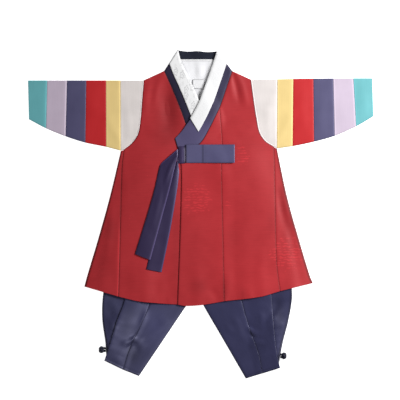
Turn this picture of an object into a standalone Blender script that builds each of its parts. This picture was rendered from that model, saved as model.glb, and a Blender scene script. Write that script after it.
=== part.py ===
"""A small child's Korean first-birthday hanbok, laid flat: a long coat with striped sleeves over trousers.

Every cut piece is a thin wall of cloth. A piece is drawn in plan between its seam lines, then laid on the
pieces under it, and comes down beside them at a gentle slope. +X is the wearer's left, +Y points to the
neck and +Z is up from the surface that the garment lies on. Plan sizes are in millimetres.
"""

import math

import bmesh
import bpy
import numpy as np
from mathutils import Matrix, Vector

MM = 0.001

# Cloth and sewing
WALL = 1.1
LAYER = 1.5
SEAM_GAP = 0.3
FOLD_STEPS = 3

# How an upper piece comes down beside a lower one
EDGE_MARGIN = 16.0
EDGE_ROUNDING = 8.0
DRAPE_SLOPE = 0.07

# The coat's front bridges the steps of what lies inside it: a smoothed height map of this cell size
DRAPE_CELL = 12.0
DRAPE_BLURS = 6
DRAPE_CLEAR = 0.3

# Number of quads along the main lines
ARMHOLE_ROWS = 8
SKIRT_ROWS = 16
NECK_ROWS_R, NECK_ROWS_L = 6, 4
LEG_TOP_ROWS, LEG_LOW_ROWS = 8, 7
SLEEVE_ROWS = 3
GORE_COLUMNS = 3
BACK_COLUMNS = 4

# Coat, in plan. The wearer's right side lies at -X.
NECK_R, TIP_R, UNDERARM_R, SIDE_TOP_R = (-74.9, 294.0), (-116.7, 275.0), (-157.5, 133.0), (-163.8, 130.8)
NECK_L, TIP_L, UNDERARM_L, SIDE_TOP_L = (64.5, 294.0), (102.6, 276.5), (150.0, 138.5), (156.2, 135.5)
NAPE = (-4.5, 297.0)
ARMHOLE_R = (TIP_R, (-120.6, 228.0), (-123.2, 196.0), (-128.5, 165.0), (-140.5, 146.5), UNDERARM_R)
ARMHOLE_L = (TIP_L, (108.5, 232.3), (113.8, 198.0), (120.5, 167.0), (132.7, 149.5), UNDERARM_L)
HEM_SIDE_R, HEM_GORE_R = (-238.7, -147.6), (-168.8, -167.9)
HEM_SIDE_L, HEM_GORE_L = (230.1, -140.4), (162.5, -156.8)
HEM_OVERLAP, HEM_STRIP = (-47.5, -184.6), (48.1, -177.6)
HEM_CENTRE, HEM_UNDER = (-4.5, -184.0), (34.0, -178.0)
SIDE_R = (SIDE_TOP_R, (-186.0, 38.0), (-208.6, -44.0), (-233.0, -126.0), HEM_SIDE_R)
SIDE_L = (SIDE_TOP_L, (176.8, 38.0), (199.4, -44.0), (224.0, -126.0), HEM_SIDE_L)
GORE_SEAM_R = (UNDERARM_R, (-161.0, 100.0), (-165.0, -40.0), HEM_GORE_R)
GORE_SEAM_L = (UNDERARM_L, (150.6, 110.0), (153.6, -42.0), (155.9, -105.4), HEM_GORE_L)

# Collar bands: the outer line is sewn to the coat, the inner line is the free edge
BAND_TOP_R, BAND_TOP_L = (-47.7, 337.0), (34.5, 334.8)
BAND_OUTER_R = (NECK_R, (-56.7, 253.2), (-40.1, 211.4), (-30.2, 183.5), (-23.5, 165.0))
BAND_INNER_R = (BAND_TOP_R, (-40.7, 311.2), (-22.4, 272.9), (-3.2, 229.8), (13.0, 193.0))
STRIP_TOP = (38.4, 217.5)
BAND_OUTER_L_HIGH = (NECK_L, (56.3, 269.8), (43.6, 232.3), STRIP_TOP)
BAND_OUTER_L_LOW = (STRIP_TOP, (31.1, 203.0), (18.6, 177.7), (-0.3, 146.6), (-20.0, 136.5), (-46.0, 131.4))
BAND_INNER_L_HIGH = (BAND_TOP_L, (28.8, 316.7), (15.1, 276.5), (6.9, 254.4))
BAND_INNER_L_LOW = (
    (6.9, 254.4), (-2.4, 229.8), (-16.9, 202.3), (-29.8, 183.5), (-39.0, 170.5), (-53.0, 155.5),
)
WHITE_SHARE = 0.62
WHITE_LIP = 1.1
WHITE_LIP_DROP = 1.0
WHITE_ROWS_L = 10
COLLAR_LOW_ROWS = 9

# Front opening: the left front's edge strip lies over the right front, which runs on under it
STRIP_SEAM = (STRIP_TOP, (43.6, 146.6), (42.1, 101.5), (45.0, -40.0), HEM_STRIP)
OVERLAP_EDGE = ((-46.0, 131.4), (-40.5, 104.0), (-40.3, 29.7), (-44.0, -90.0), HEM_OVERLAP)
UNDER_EDGE = ((-23.5, 165.0), (10.0, 128.0), (28.0, 70.0), (31.0, -50.0), HEM_UNDER)
HEM_R = (HEM_GORE_R, (-131.9, -176.9), (-102.0, -180.6), (-48.7, -184.3), (-4.5, -184.0), HEM_UNDER)
HEM_STRIP_LINE = (HEM_OVERLAP, (-29.0, -187.4), (4.6, -185.1), HEM_STRIP)
HEM_L = (HEM_STRIP, (121.5, -168.6), HEM_GORE_L)
BACK_HEM_LIFT = 1.6
GORE_TOP_SHARE = 0.05

# Sleeve: one row for each seam from the cuff in, with its plan points on the top fold and the lower seam
SLEEVE_R = {
    "cuff": ((-354.0, 275.0), (-352.0, 195.0)),
    "teal_lilac": ((-314.6, 275.0), (-317.0, 176.7)),
    "lilac_navy": ((-274.2, 275.0), (-277.0, 160.3)),
    "navy_red": ((-234.8, 275.0), (-236.7, 147.4)),
    "red_yellow": ((-194.2, 275.0), (-193.8, 138.6)),
    "yellow_white": ((-164.5, 275.0), SIDE_TOP_R),
}
SLEEVE_L = {
    "cuff": ((351.7, 279.5), (353.9, 201.3)),
    "teal_lilac": ((312.7, 279.5), (318.3, 180.4)),
    "lilac_navy": ((271.5, 279.2), (274.4, 161.1)),
    "navy_red": ((230.7, 278.8), (232.2, 149.2)),
    "red_yellow": ((189.5, 278.2), (188.3, 140.0)),
    "yellow_white": ((157.1, 277.4), SIDE_TOP_L),
}
SLEEVE_COLOURS = ("teal", "lilac", "navy", "red", "yellow", "white")
BAND_COLUMNS = 2
LOWER_SEAM_SAMPLES = 40

# Trousers: plan lines from the waist seam down to the ankle. The part above the coat's hem is hidden.
WAIST_Y, WAIST_TOP_Y = 95.0, 120.0
CROTCH = (-10.0, -156.0)
LEG_R = {
    "inner": (CROTCH, (-30.2, -187.6), (-78.0, -259.0), (-126.6, -331.1)),
    "seam": ((-55.0, WAIST_Y), (-75.0, -20.0), (-97.0, -140.0), (-104.2, -182.0), (-124.5, -230.2),
             (-144.0, -270.8), (-159.5, -318.0)),
    "pleat": ((-86.0, WAIST_Y), (-122.0, 0.0), (-148.0, -120.0), (-156.1, -174.7), (-172.7, -219.8),
              (-186.2, -264.9), (-197.7, -299.3)),
    "outer": ((-103.0, WAIST_Y), (-160.0, 0.0), (-191.0, -110.0), (-201.0, -170.0), (-202.0, -215.0),
              (-195.3, -265.5), (-193.5, -300.5)),
}
LEG_L = {
    "inner": (CROTCH, (5.6, -186.3), (50.0, -263.0), (92.4, -336.2)),
    "seam": ((47.0, WAIST_Y), (61.0, -20.0), (79.0, -140.0), (84.4, -179.8), (101.8, -239.4),
             (119.0, -288.4), (126.0, -325.7)),
    "pleat": ((78.0, WAIST_Y), (112.0, 0.0), (138.0, -120.0), (144.8, -166.0), (150.6, -238.0),
              (156.0, -284.0), (162.9, -314.3)),
    "outer": ((95.0, WAIST_Y), (150.0, 0.0), (180.0, -110.0), (187.5, -165.0), (180.1, -216.5),
              (168.5, -262.0), (158.5, -315.6)),
}
PLEAT_DEPTH_TOP, PLEAT_DEPTH_ANKLE = 6.0, 15.0
WAIST_R, WAIST_L = -103.0, 95.0

# Knotted buttons at the outer ankles
BUTTON_R = (-203.6, -276.8)
BUTTON_L = (170.6, -289.5)
BUTTON_RADIUS = 6.8
BUTTON_FLATNESS = 0.85
STEM_RADIUS, STEM_HEIGHT, STEM_CLEAR = 1.7, 1.9, 0.1
STEM_SPREAD = 2.4

# Neck lining, nape band and label
NAPE_DIP, NAPE_WAVE = 1.6, 0.7
LINING_EDGE_R = ((-56.0, 314.6), (-36.0, 265.0), (-17.0, 214.0))
LINING_EDGE_L = ((43.0, 314.6), (27.0, 265.0), (12.0, 214.0))
PIPING_WIDTH = 3.0
LABEL_CENTRE = (-5.0, 267.5)
LABEL_SIZE = (24.0, 19.0)

# Tie: a single bow loop to the wearer's left and two long tails
LOOP_LEFT, LOOP_RIGHT, LOOP_BOTTOM, LOOP_TOP = -30.5, 69.8, 105.6, 143.3
TAIL_UPPER = {
    "left": ((-46.5, 134.0), (-64.0, 119.0), (-80.0, 105.4), (-84.0, 98.5), (-98.5, 37.0), (-134.6, -81.0)),
    "right": ((-46.5, 119.0), (-52.0, 100.0), (-62.0, 58.0), (-75.0, 10.0), (-103.2, -93.5)),
}
TAIL_LOWER = {
    "left": ((-46.5, 117.5), (-56.0, 84.0), (-76.0, 20.0), (-94.0, -40.0), (-111.6, -112.3)),
    "right": ((-46.5, 107.5), (-44.5, 84.0), (-53.0, 22.5), (-64.0, -40.0), (-80.3, -118.5)),
}
KNOT_CENTRE = (-38.5, 124.5)
KNOT_SIZE = (15.0, 40.0, 5.0)
KNOT_ROUNDING = 2.0

# Soft waves that the coat's hem stands in: hem is x at the hem, lean is its drift for each mm up,
# reach is how far it runs up, height and width are those of the wave at the hem
HEM_WAVES = (
    {"hem": -205.0, "lean": 0.16, "reach": 190.0, "height": 2.2, "width": 19.0},
    {"hem": -112.0, "lean": 0.06, "reach": 170.0, "height": 2.4, "width": 21.0},
    {"hem": 92.0, "lean": -0.05, "reach": 160.0, "height": 2.4, "width": 22.0},
    {"hem": 196.0, "lean": -0.17, "reach": 190.0, "height": 2.2, "width": 19.0},
)
HEM_LEVEL = -178.0

COLOURS = {
    "red": ("silk_red", (0.42, 0.028, 0.033)),
    "navy": ("silk_navy", (0.045, 0.042, 0.09)),
    "white": ("silk_white", (0.80, 0.78, 0.74)),
    "yellow": ("silk_yellow", (0.85, 0.60, 0.22)),
    "teal": ("silk_teal", (0.11, 0.38, 0.40)),
    "lilac": ("silk_lilac", (0.50, 0.40, 0.50)),
    "collar_white": ("collar_white", (0.90, 0.90, 0.91)),
    "lining": ("lining_white", (0.80, 0.80, 0.83)),
}
CLOTH_ROUGHNESS = 0.45

sheets = {}


def clear_scene():
    """Removes what the file opened with."""
    for obj in list(bpy.data.objects):
        bpy.data.objects.remove(obj, do_unlink=True)


def smooth_line(points, steps):
    """Samples a smooth curve through plan points, evenly along its length."""
    pts = np.array(points, dtype=float)
    length = np.concatenate(([0.0], np.cumsum(np.linalg.norm(np.diff(pts, axis=0), axis=1))))
    tangents = np.empty_like(pts)
    tangents[0] = (pts[1] - pts[0]) / (length[1] - length[0])
    tangents[-1] = (pts[-1] - pts[-2]) / (length[-1] - length[-2])
    if len(pts) > 2:
        tangents[1:-1] = (pts[2:] - pts[:-2]) / (length[2:] - length[:-2])[:, None]
    at = np.linspace(0.0, length[-1], steps + 1)
    span = np.clip(np.searchsorted(length, at, side="right") - 1, 0, len(pts) - 2)
    size = (length[span + 1] - length[span])[:, None]
    t = ((at - length[span]) / size[:, 0])[:, None]
    start, end = pts[span], pts[span + 1]
    lead, trail = tangents[span] * size, tangents[span + 1] * size
    return (
        (2 * t**3 - 3 * t**2 + 1) * start
        + (t**3 - 2 * t**2 + t) * lead
        + (3 * t**2 - 2 * t**3) * end
        + (t**3 - t**2) * trail
    )


def straight(start, end, steps):
    """Evenly spaced points on a straight seam."""
    return smooth_line((start, end), steps)


def patch(left, right, top, bottom):
    """Fills the plan between four sampled seam lines; row 0 is the top and column 0 the left line."""
    v = np.linspace(0.0, 1.0, len(left))[:, None, None]
    u = np.linspace(0.0, 1.0, len(top))[None, :, None]
    sides = (1 - u) * left[:, None] + u * right[:, None]
    ends = (1 - v) * top[None] + v * bottom[None]
    corners = (
        (1 - u) * (1 - v) * left[0]
        + u * (1 - v) * right[0]
        + (1 - u) * v * left[-1]
        + u * v * right[-1]
    )
    return sides + ends - corners


def pull_in(grid, left=True, right=True, top=True, bottom=True):
    """Draws the sewn edges of a piece back by half the seam gap."""
    moved = grid.copy()
    loop = outline(grid)
    onward = np.roll(loop, -1, axis=0)
    turning = np.sign(np.sum(loop[:, 0] * onward[:, 1] - loop[:, 1] * onward[:, 0]))
    edges = (
        (left, (slice(None), 0), -1.0),
        (right, (slice(None), -1), 1.0),
        (top, (0, slice(None)), 1.0),
        (bottom, (-1, slice(None)), -1.0),
    )
    for wanted, edge, sense in edges:
        if not wanted:
            continue
        tangent = np.gradient(grid[edge], axis=0)
        tangent /= np.linalg.norm(tangent, axis=1)[:, None]
        normal = np.stack((-tangent[:, 1], tangent[:, 0]), axis=1)
        moved[edge] += normal * sense * turning * (SEAM_GAP / 2)
    return moved


def outline(grid):
    """The closed plan outline of a grid."""
    xy = grid[..., :2]
    return np.concatenate((xy[0, :-1], xy[:-1, -1], xy[-1, :0:-1], xy[:0:-1, 0]))


def distance_to(points, loop):
    """Plan distance from points to an outline, zero inside it."""
    start, end = loop, np.roll(loop, -1, axis=0)
    edge = end - start
    to_point = points[:, None] - start[None]
    along = np.sum(to_point * edge, axis=2) / np.maximum(np.sum(edge * edge, axis=1), 1e-9)
    nearest = to_point - np.clip(along, 0.0, 1.0)[..., None] * edge
    distance = np.linalg.norm(nearest, axis=2).min(axis=1)
    x, y = points[:, 0:1], points[:, 1:2]
    spans = (start[:, 1] > y) != (end[:, 1] > y)
    rise = np.where(edge[:, 1] == 0.0, 1e-9, edge[:, 1])
    crossing = start[:, 0] + (y - start[:, 1]) / rise * edge[:, 0]
    inside = np.sum(spans & (x < crossing), axis=1) % 2 == 1
    return np.where(inside, 0.0, distance)


def fall(distance):
    """How far cloth comes down at a distance beyond the edge of what it lies on."""
    beyond = distance - EDGE_MARGIN
    rounded = np.clip(beyond + EDGE_ROUNDING, 0.0, 2 * EDGE_ROUNDING) ** 2 / (4 * EDGE_ROUNDING)
    return DRAPE_SLOPE * np.where(beyond > EDGE_ROUNDING, beyond, rounded)


def hem_waves(points):
    """Height of the soft waves that run up from the coat's hem."""
    x, y = points[:, 0], points[:, 1]
    total = np.zeros(len(points))
    for wave in HEM_WAVES:
        up = y - HEM_LEVEL
        centre = wave["hem"] + wave["lean"] * up
        fade = np.clip(1.0 - up / wave["reach"], 0.0, 1.0) ** 1.5
        total += wave["height"] * fade * np.exp(-(((x - centre) / wave["width"]) ** 2))
    return total


def heights(name, points, known=None):
    """Height of a sheet's middle surface over plan points."""
    known = {} if known is None else known
    if name in known:
        return known[name]
    sheet = sheets[name]
    if "map" in sheet:
        known[name] = read_map(sheet["map"], points)
        return known[name]
    z = np.full(len(points), WALL / 2)
    if sheet["ground"]:
        z = heights(sheet["ground"], points, known)
    for under in sheet["rests_on"]:
        lower = heights(under, points, known) + LAYER
        z = np.maximum(z, lower - fall(distance_to(points, sheets[under]["outline"])))
    known[name] = z
    return z


def lay(name, grid, rests_on=(), ground=None):
    """Registers a sheet by its plan grid and returns the grid with heights."""
    sheets[name] = {"outline": outline(grid), "rests_on": rests_on, "ground": ground}
    z = heights(name, grid.reshape(-1, 2)).reshape(grid.shape[:2])
    return np.dstack((grid, z))


def read_map(height_map, points):
    """Height map value at plan points, blended between its cells."""
    low, cells = height_map
    at = np.clip((points - low) / DRAPE_CELL, 0.0, np.array(cells.shape) - 1.001)
    cell = at.astype(int)
    fx, fy = (at - cell).T
    x, y = cell.T
    near = cells[x, y] * (1 - fx) + cells[x + 1, y] * fx
    far = cells[x, y + 1] * (1 - fx) + cells[x + 1, y + 1] * fx
    return near * (1 - fy) + far * fy


def drape_over(name, rests_on, low, high):
    """A smooth height map over everything inside the coat, with the waves of its hem."""
    x = np.arange(low[0], high[0], DRAPE_CELL)
    y = np.arange(low[1], high[1], DRAPE_CELL)
    points = np.stack(np.meshgrid(x, y, indexing="ij"), axis=2).reshape(-1, 2)
    sheets[name] = {"outline": np.array((low, high)), "rests_on": rests_on, "ground": None}
    cells = heights(name, points).reshape(len(x), len(y))
    padded = np.pad(cells, 1, mode="edge")
    shifts = [padded[i:i + len(x), j:j + len(y)] for i in range(3) for j in range(3)]
    cells = np.max(shifts, axis=0)
    for _ in range(DRAPE_BLURS):
        padded = np.pad(cells, 1, mode="edge")
        beside = padded[:-2, 1:-1] + padded[2:, 1:-1] + padded[1:-1, :-2] + padded[1:-1, 2:]
        cells = (4 * cells + beside) / 8
    cells += DRAPE_CLEAR + hem_waves(points).reshape(cells.shape)
    sheets[name]["map"] = (np.array(low), cells)


def fold_together(strips):
    """Joins strips that meet at fold edges into one grid, with a round fold between each two."""
    parts = [strip.copy() for strip in strips]
    joined = []
    for first, second in zip(parts[:-1], parts[1:]):
        edge = first[:, -1, :2].copy()
        outward = edge - first[:, -2, :2]
        outward /= np.linalg.norm(outward, axis=1)[:, None]
        radius = (first[:, -1, 2] - second[:, 0, 2])[:, None] / 2
        middle = (first[:, -1, 2] + second[:, 0, 2])[:, None] / 2
        centre = edge - outward * (np.abs(radius) + WALL / 2)
        first[:, -1, :2] = centre
        second[:, 0, :2] = centre
        arc = []
        for step in range(1, FOLD_STEPS):
            turn = math.pi * (0.5 - step / FOLD_STEPS)
            reach = centre + outward * np.abs(radius) * math.cos(turn)
            arc.append(np.hstack((reach, middle + radius * math.sin(turn)))[:, None])
        joined.append(first)
        joined.extend(arc)
    joined.append(parts[-1])
    return np.concatenate(joined, axis=1)


def material(colour):
    """The plain colour of one kind of cloth."""
    name, rgb = COLOURS[colour]
    found = bpy.data.materials.get(name)
    if found:
        return found
    made = bpy.data.materials.new(name)
    made.use_nodes = True
    shader = made.node_tree.nodes["Principled BSDF"]
    shader.inputs["Base Color"].default_value = (*rgb, 1.0)
    shader.inputs["Roughness"].default_value = CLOTH_ROUGHNESS
    shader.inputs["Metallic"].default_value = 0.0
    return made


def add_object(name, mesh, colour, collection, parent):
    """Links a mesh as a named piece of the garment."""
    mesh.materials.append(material(colour))
    obj = bpy.data.objects.new(name, mesh)
    obj.parent = parent
    collection.objects.link(obj)
    return obj


def add_cloth(name, grid, colour, garment, wall=WALL):
    """Makes a wall of cloth on a grid of its middle surface."""
    rows, columns = grid.shape[:2]
    bm = bmesh.new()
    verts = [bm.verts.new(point * MM) for point in grid.reshape(-1, 3)]
    for row in range(rows - 1):
        for column in range(columns - 1):
            corner = row * columns + column
            below = corner + columns
            bm.faces.new((verts[corner], verts[below], verts[below + 1], verts[corner + 1]))
    bmesh.ops.recalc_face_normals(bm, faces=bm.faces)
    bm.normal_update()
    mesh = bpy.data.meshes.new(name)
    bm.to_mesh(mesh)
    bm.free()
    mesh.shade_smooth()
    obj = add_object(name, mesh, colour, *garment)
    shell = obj.modifiers.new("wall", "SOLIDIFY")
    shell.thickness = wall * MM
    shell.offset = 0.0
    shell.use_even_offset = True
    return obj


def sleeve_bands(side, table, armhole, garment):
    """Six bands from cuff to armhole, each folded at the top and seamed along the bottom."""
    seams = list(table.values())
    lower = smooth_line([low for _, low in seams], LOWER_SEAM_SAMPLES)
    lower = lower[np.argsort(lower[:, 0])]
    for index, colour in enumerate(SLEEVE_COLOURS):
        last = index + 1 == len(seams)
        left = straight(*seams[index], ARMHOLE_ROWS if last else SLEEVE_ROWS)
        right = armhole if last else straight(*seams[index + 1], SLEEVE_ROWS)
        top = straight(left[0], right[0], BAND_COLUMNS)
        bottom = straight(left[-1], right[-1], BAND_COLUMNS)
        if not last:
            bottom[1:-1, 1] = np.interp(bottom[1:-1, 0], lower[:, 0], lower[:, 1])
        plan = pull_in(patch(left, right, top, bottom), top=False, left=index > 0)
        name = f"sleeve_{side}_{index + 1}_{colour}"
        back = lay(name + "_back", plan).transpose(1, 0, 2)
        front = lay(name + "_front", plan, (name + "_back",))[::-1].transpose(1, 0, 2)
        add_cloth(name, fold_together((front, back)), colour, garment)


def leg_plans(leg, centre_seam):
    """Plan grids of one leg: gusset, top layer to the pleat, pleat return, outer layer and back."""
    rows = LEG_TOP_ROWS + LEG_LOW_ROWS
    inner = np.concatenate((centre_seam, smooth_line(leg["inner"], LEG_LOW_ROWS)[1:]))
    seam = smooth_line(leg["seam"], rows)
    pleat = smooth_line(leg["pleat"], rows)
    outer = smooth_line(leg["outer"], rows)
    depth = np.linspace(PLEAT_DEPTH_TOP, PLEAT_DEPTH_ANKLE, rows + 1)
    back_in = seam - pleat
    back_in /= np.linalg.norm(back_in, axis=1)[:, None]
    tuck = pleat + back_in * depth[:, None]

    def between(first, second, columns):
        ends = [straight(first[row], second[row], columns) for row in (0, -1)]
        return patch(first, second, *ends)

    return {
        "gusset": pull_in(between(inner, seam, 4), bottom=False),
        "top": pull_in(between(seam, pleat, 3), right=False, bottom=False),
        "return": pull_in(between(pleat, tuck, 1), left=False, right=False, bottom=False),
        "outer": pull_in(between(tuck, outer, 2), left=False, right=False, bottom=False),
        "back": pull_in(between(outer, seam, 4), left=False, bottom=False),
    }


def trousers(garment):
    """Both legs, lying inside the coat down to its hem, and the hidden waistband."""
    coat_back = ("coat_back_r", "coat_back_l", "gore_back_r", "gore_back_l")
    centre = smooth_line(((-4.0, WAIST_Y), (-6.0, -60.0), CROTCH), LEG_TOP_ROWS)
    tops = []
    for side, leg in (("r", LEG_R), ("l", LEG_L)):
        plan = leg_plans(leg, centre)
        gusset_back = lay(f"gusset_back_{side}", plan["gusset"], coat_back)
        back = lay(f"leg_back_{side}", plan["back"], coat_back)
        under = (f"gusset_back_{side}", f"leg_back_{side}")
        outer = lay(f"leg_outer_{side}", plan["outer"], under)
        turned = lay(f"leg_return_{side}", plan["return"], (f"leg_outer_{side}",))
        over = under + (f"leg_outer_{side}", f"leg_return_{side}")
        top = lay(f"leg_top_{side}", plan["top"], over)
        gusset = lay(f"gusset_front_{side}", plan["gusset"], over)
        add_cloth(f"trouser_leg_{side}", fold_together((top, turned, outer, back)), "navy", garment)
        add_cloth(f"trouser_gusset_front_{side}", gusset, "navy", garment)
        add_cloth(f"trouser_gusset_back_{side}", gusset_back, "navy", garment)
        tops += [f"leg_top_{side}", f"leg_outer_{side}", f"gusset_front_{side}"]
    band = patch(
        straight((WAIST_R, WAIST_TOP_Y), (WAIST_R, WAIST_Y), 2),
        straight((WAIST_L, WAIST_TOP_Y), (WAIST_L, WAIST_Y), 2),
        straight((WAIST_R, WAIST_TOP_Y), (WAIST_L, WAIST_TOP_Y), 11),
        straight((WAIST_R, WAIST_Y), (WAIST_L, WAIST_Y), 11),
    )
    band = pull_in(band)
    legs = tuple(tops)
    add_cloth("waistband_back", lay("waistband_back", band, coat_back), "navy", garment)
    front_under = ("waistband_back", "leg_return_r", "leg_return_l", "leg_outer_r", "leg_outer_l")
    add_cloth("waistband_front", lay("waistband_front", band, front_under), "navy", garment)
    return legs + ("waistband_front",)


def coat_backs(lines, garment):
    """Two back panels, flat on the surface, joined at the centre back."""
    rows = ARMHOLE_ROWS + SKIRT_ROWS
    centre = straight(NAPE, (HEM_CENTRE[0], HEM_CENTRE[1] + BACK_HEM_LIFT), rows)
    for side, neck, tip in (("r", NECK_R, TIP_R), ("l", NECK_L, TIP_L)):
        edge = np.concatenate((lines["armhole_" + side], lines["gore_" + side][1:]))
        edge[-1, 1] += BACK_HEM_LIFT
        neckline = np.concatenate((straight(tip, neck, 2), straight(neck, NAPE, BACK_COLUMNS - 2)[1:]))
        hem = straight(edge[-1], centre[-1], BACK_COLUMNS)
        plan = pull_in(patch(edge, centre, neckline, hem), bottom=False)
        add_cloth("coat_back_" + side, lay("coat_back_" + side, plan), "red", garment)


def neck_inside(garment):
    """What shows inside the neck: the nape band, a white edge strip, the lining and a blank label."""
    nape_top = straight(BAND_TOP_R, BAND_TOP_L, 8)
    nape_top[1:-1, 1] -= NAPE_DIP + NAPE_WAVE * np.sin(np.linspace(0.0, 3.0 * math.pi, 7))
    seam = np.concatenate((straight(NECK_R, NAPE, 4), straight(NAPE, NECK_L, 4)[1:]))
    plan = patch(straight(BAND_TOP_R, NECK_R, 3), straight(BAND_TOP_L, NECK_L, 3), nape_top, seam)
    plan = pull_in(plan, left=False, right=False, top=False)
    add_cloth("collar_back", lay("collar_back", plan), "navy", garment)
    rows = 6
    left, right = smooth_line(LINING_EDGE_R, rows), smooth_line(LINING_EDGE_L, rows)
    plan = patch(left, right, straight(left[0], right[0], 6), straight(left[-1], right[-1], 6))
    lining_under = ("coat_back_r", "coat_back_l", "collar_back")
    add_cloth("lining_back", lay("lining_back", plan, lining_under), "lining", garment)
    low = straight(left[0], right[0], 6)
    low[:, 1] += SEAM_GAP
    high = low.copy()
    high[:, 1] += PIPING_WIDTH
    plan = patch(straight(high[0], low[0], 1), straight(high[-1], low[-1], 1), high, low)
    add_cloth("neck_edge_strip", lay("neck_edge_strip", plan, lining_under), "collar_white", garment)
    (x, y), (width, height) = LABEL_CENTRE, LABEL_SIZE
    corners = [(x - width / 2, y + height / 2), (x - width / 2, y - height / 2)]
    left = straight(*corners, 2)
    right = left + (width, 0.0)
    plan = patch(left, right, straight(left[0], right[0], 2), straight(left[-1], right[-1], 2))
    add_cloth("blank_label", lay("blank_label", plan, ("lining_back",)), "lining", garment)
    return ("collar_back", "lining_back", "neck_edge_strip", "blank_label")


def gores(lines, garment):
    """A side gore on each side, folded round the coat's side edge."""
    for side in ("r", "l"):
        plan = gore_plan(lines["side_" + side], lines["gore_" + side])
        front = lay("gore_front_" + side, plan, (), "coat_ground")
        back = sheets["gore_back_" + side]["plan"]
        flat = np.dstack((back, np.full(back.shape[:2], WALL / 2)))
        add_cloth("coat_gore_" + side, fold_together((front, flat[:, ::-1])), "red", garment)


def gore_plan(side_line, seam):
    """Plan of a gore between its seam and the coat's side edge."""
    top = straight(seam[0], side_line[0], GORE_COLUMNS)
    bottom = straight(seam[-1], side_line[-1], GORE_COLUMNS)
    plan = pull_in(patch(seam, side_line, top, bottom), right=False, bottom=False)
    plan[0] += (plan[1] - plan[0]) * GORE_TOP_SHARE
    return plan


def gore_backs(lines):
    """The back halves of the gores, which lie on the surface."""
    for side in ("r", "l"):
        plan = gore_plan(lines["side_" + side], lines["gore_" + side])
        plan[-1, :, 1] += BACK_HEM_LIFT
        lay("gore_back_" + side, plan)
        sheets["gore_back_" + side]["plan"] = plan


def white_edging(side, band, rows, garment):
    """White edging on the free half of a collar band, turned down over its edge."""
    inner = band[:rows, 0]
    outer = inner + (band[:rows, -1] - inner) * WHITE_SHARE
    across = outer - inner
    across /= np.linalg.norm(across, axis=1)[:, None]
    edge = inner - across * WHITE_LIP
    plan = np.stack((edge, inner + (outer - inner) / 2, outer), axis=1)
    name = "collar_white_" + side
    grid = lay(name, plan, ("collar_" + side,))
    lip = grid[:, :1].copy()
    lip[..., 2] -= WHITE_LIP_DROP
    add_cloth(name, np.concatenate((lip, grid), axis=1), "collar_white", garment)


def right_front(lines, garment):
    """Right front with its collar band; both run on under the left front."""
    edge = np.concatenate((lines["armhole_r"], lines["gore_r"][1:]))
    under = smooth_line(UNDER_EDGE, len(edge) - len(lines["outer_r"]))
    opening = np.concatenate((lines["outer_r"], under[1:]))
    plan = patch(edge, opening, straight(TIP_R, NECK_R, 8), smooth_line(HEM_R, 8))
    plan = pull_in(plan, top=False, bottom=False)
    add_cloth("coat_front_r", lay("coat_front_r", plan, (), "coat_ground"), "red", garment)
    top = straight(BAND_TOP_R, NECK_R, 3)
    end = straight(lines["inner_r"][-1], lines["outer_r"][-1], 3)
    plan = pull_in(patch(lines["inner_r"], lines["outer_r"], top, end), left=False, top=False)
    add_cloth("collar_r", lay("collar_r", plan, (), "coat_ground"), "navy", garment)
    white_edging("r", plan, len(plan), garment)
    return ("coat_front_r", "collar_r", "collar_white_r")


def left_front(lines, crossed, garment):
    """Left front, its overlap strip and its collar band, all lying over the right front."""
    seam_rows = ARMHOLE_ROWS + SKIRT_ROWS - NECK_ROWS_L
    strip_seam = smooth_line(STRIP_SEAM, seam_rows)
    inner = np.concatenate((lines["inner_l_high"], lines["inner_l_low"][1:]))
    outer = np.concatenate((lines["outer_l_high"], lines["outer_l_low"][1:]))
    opening = np.concatenate((lines["outer_l_high"], strip_seam[1:]))
    edge = np.concatenate((lines["armhole_l"], lines["gore_l"][1:]))
    plan = patch(opening, edge, straight(NECK_L, TIP_L, 6), smooth_line(HEM_L, 6))
    plan = pull_in(plan, top=False, bottom=False)
    add_cloth("coat_front_l", lay("coat_front_l", plan, crossed, "coat_ground"), "red", garment)
    top = lines["outer_l_low"][::-1]
    hem = smooth_line(HEM_STRIP_LINE, len(top) - 1)
    plan = patch(smooth_line(OVERLAP_EDGE, seam_rows), strip_seam, top, hem)
    plan = pull_in(plan, left=False, bottom=False)
    add_cloth("coat_overlap_l", lay("coat_overlap_l", plan, crossed, "coat_ground"), "red", garment)
    plan = patch(inner, outer, straight(BAND_TOP_L, NECK_L, 3), straight(inner[-1], outer[-1], 3))
    plan = pull_in(plan, left=False, top=False, bottom=False)
    add_cloth("collar_l", lay("collar_l", plan, crossed, "coat_ground"), "navy", garment)
    white_edging("l", plan, WHITE_ROWS_L, garment)
    return ("coat_overlap_l", "coat_front_l", "collar_l", "collar_white_l")


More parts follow.
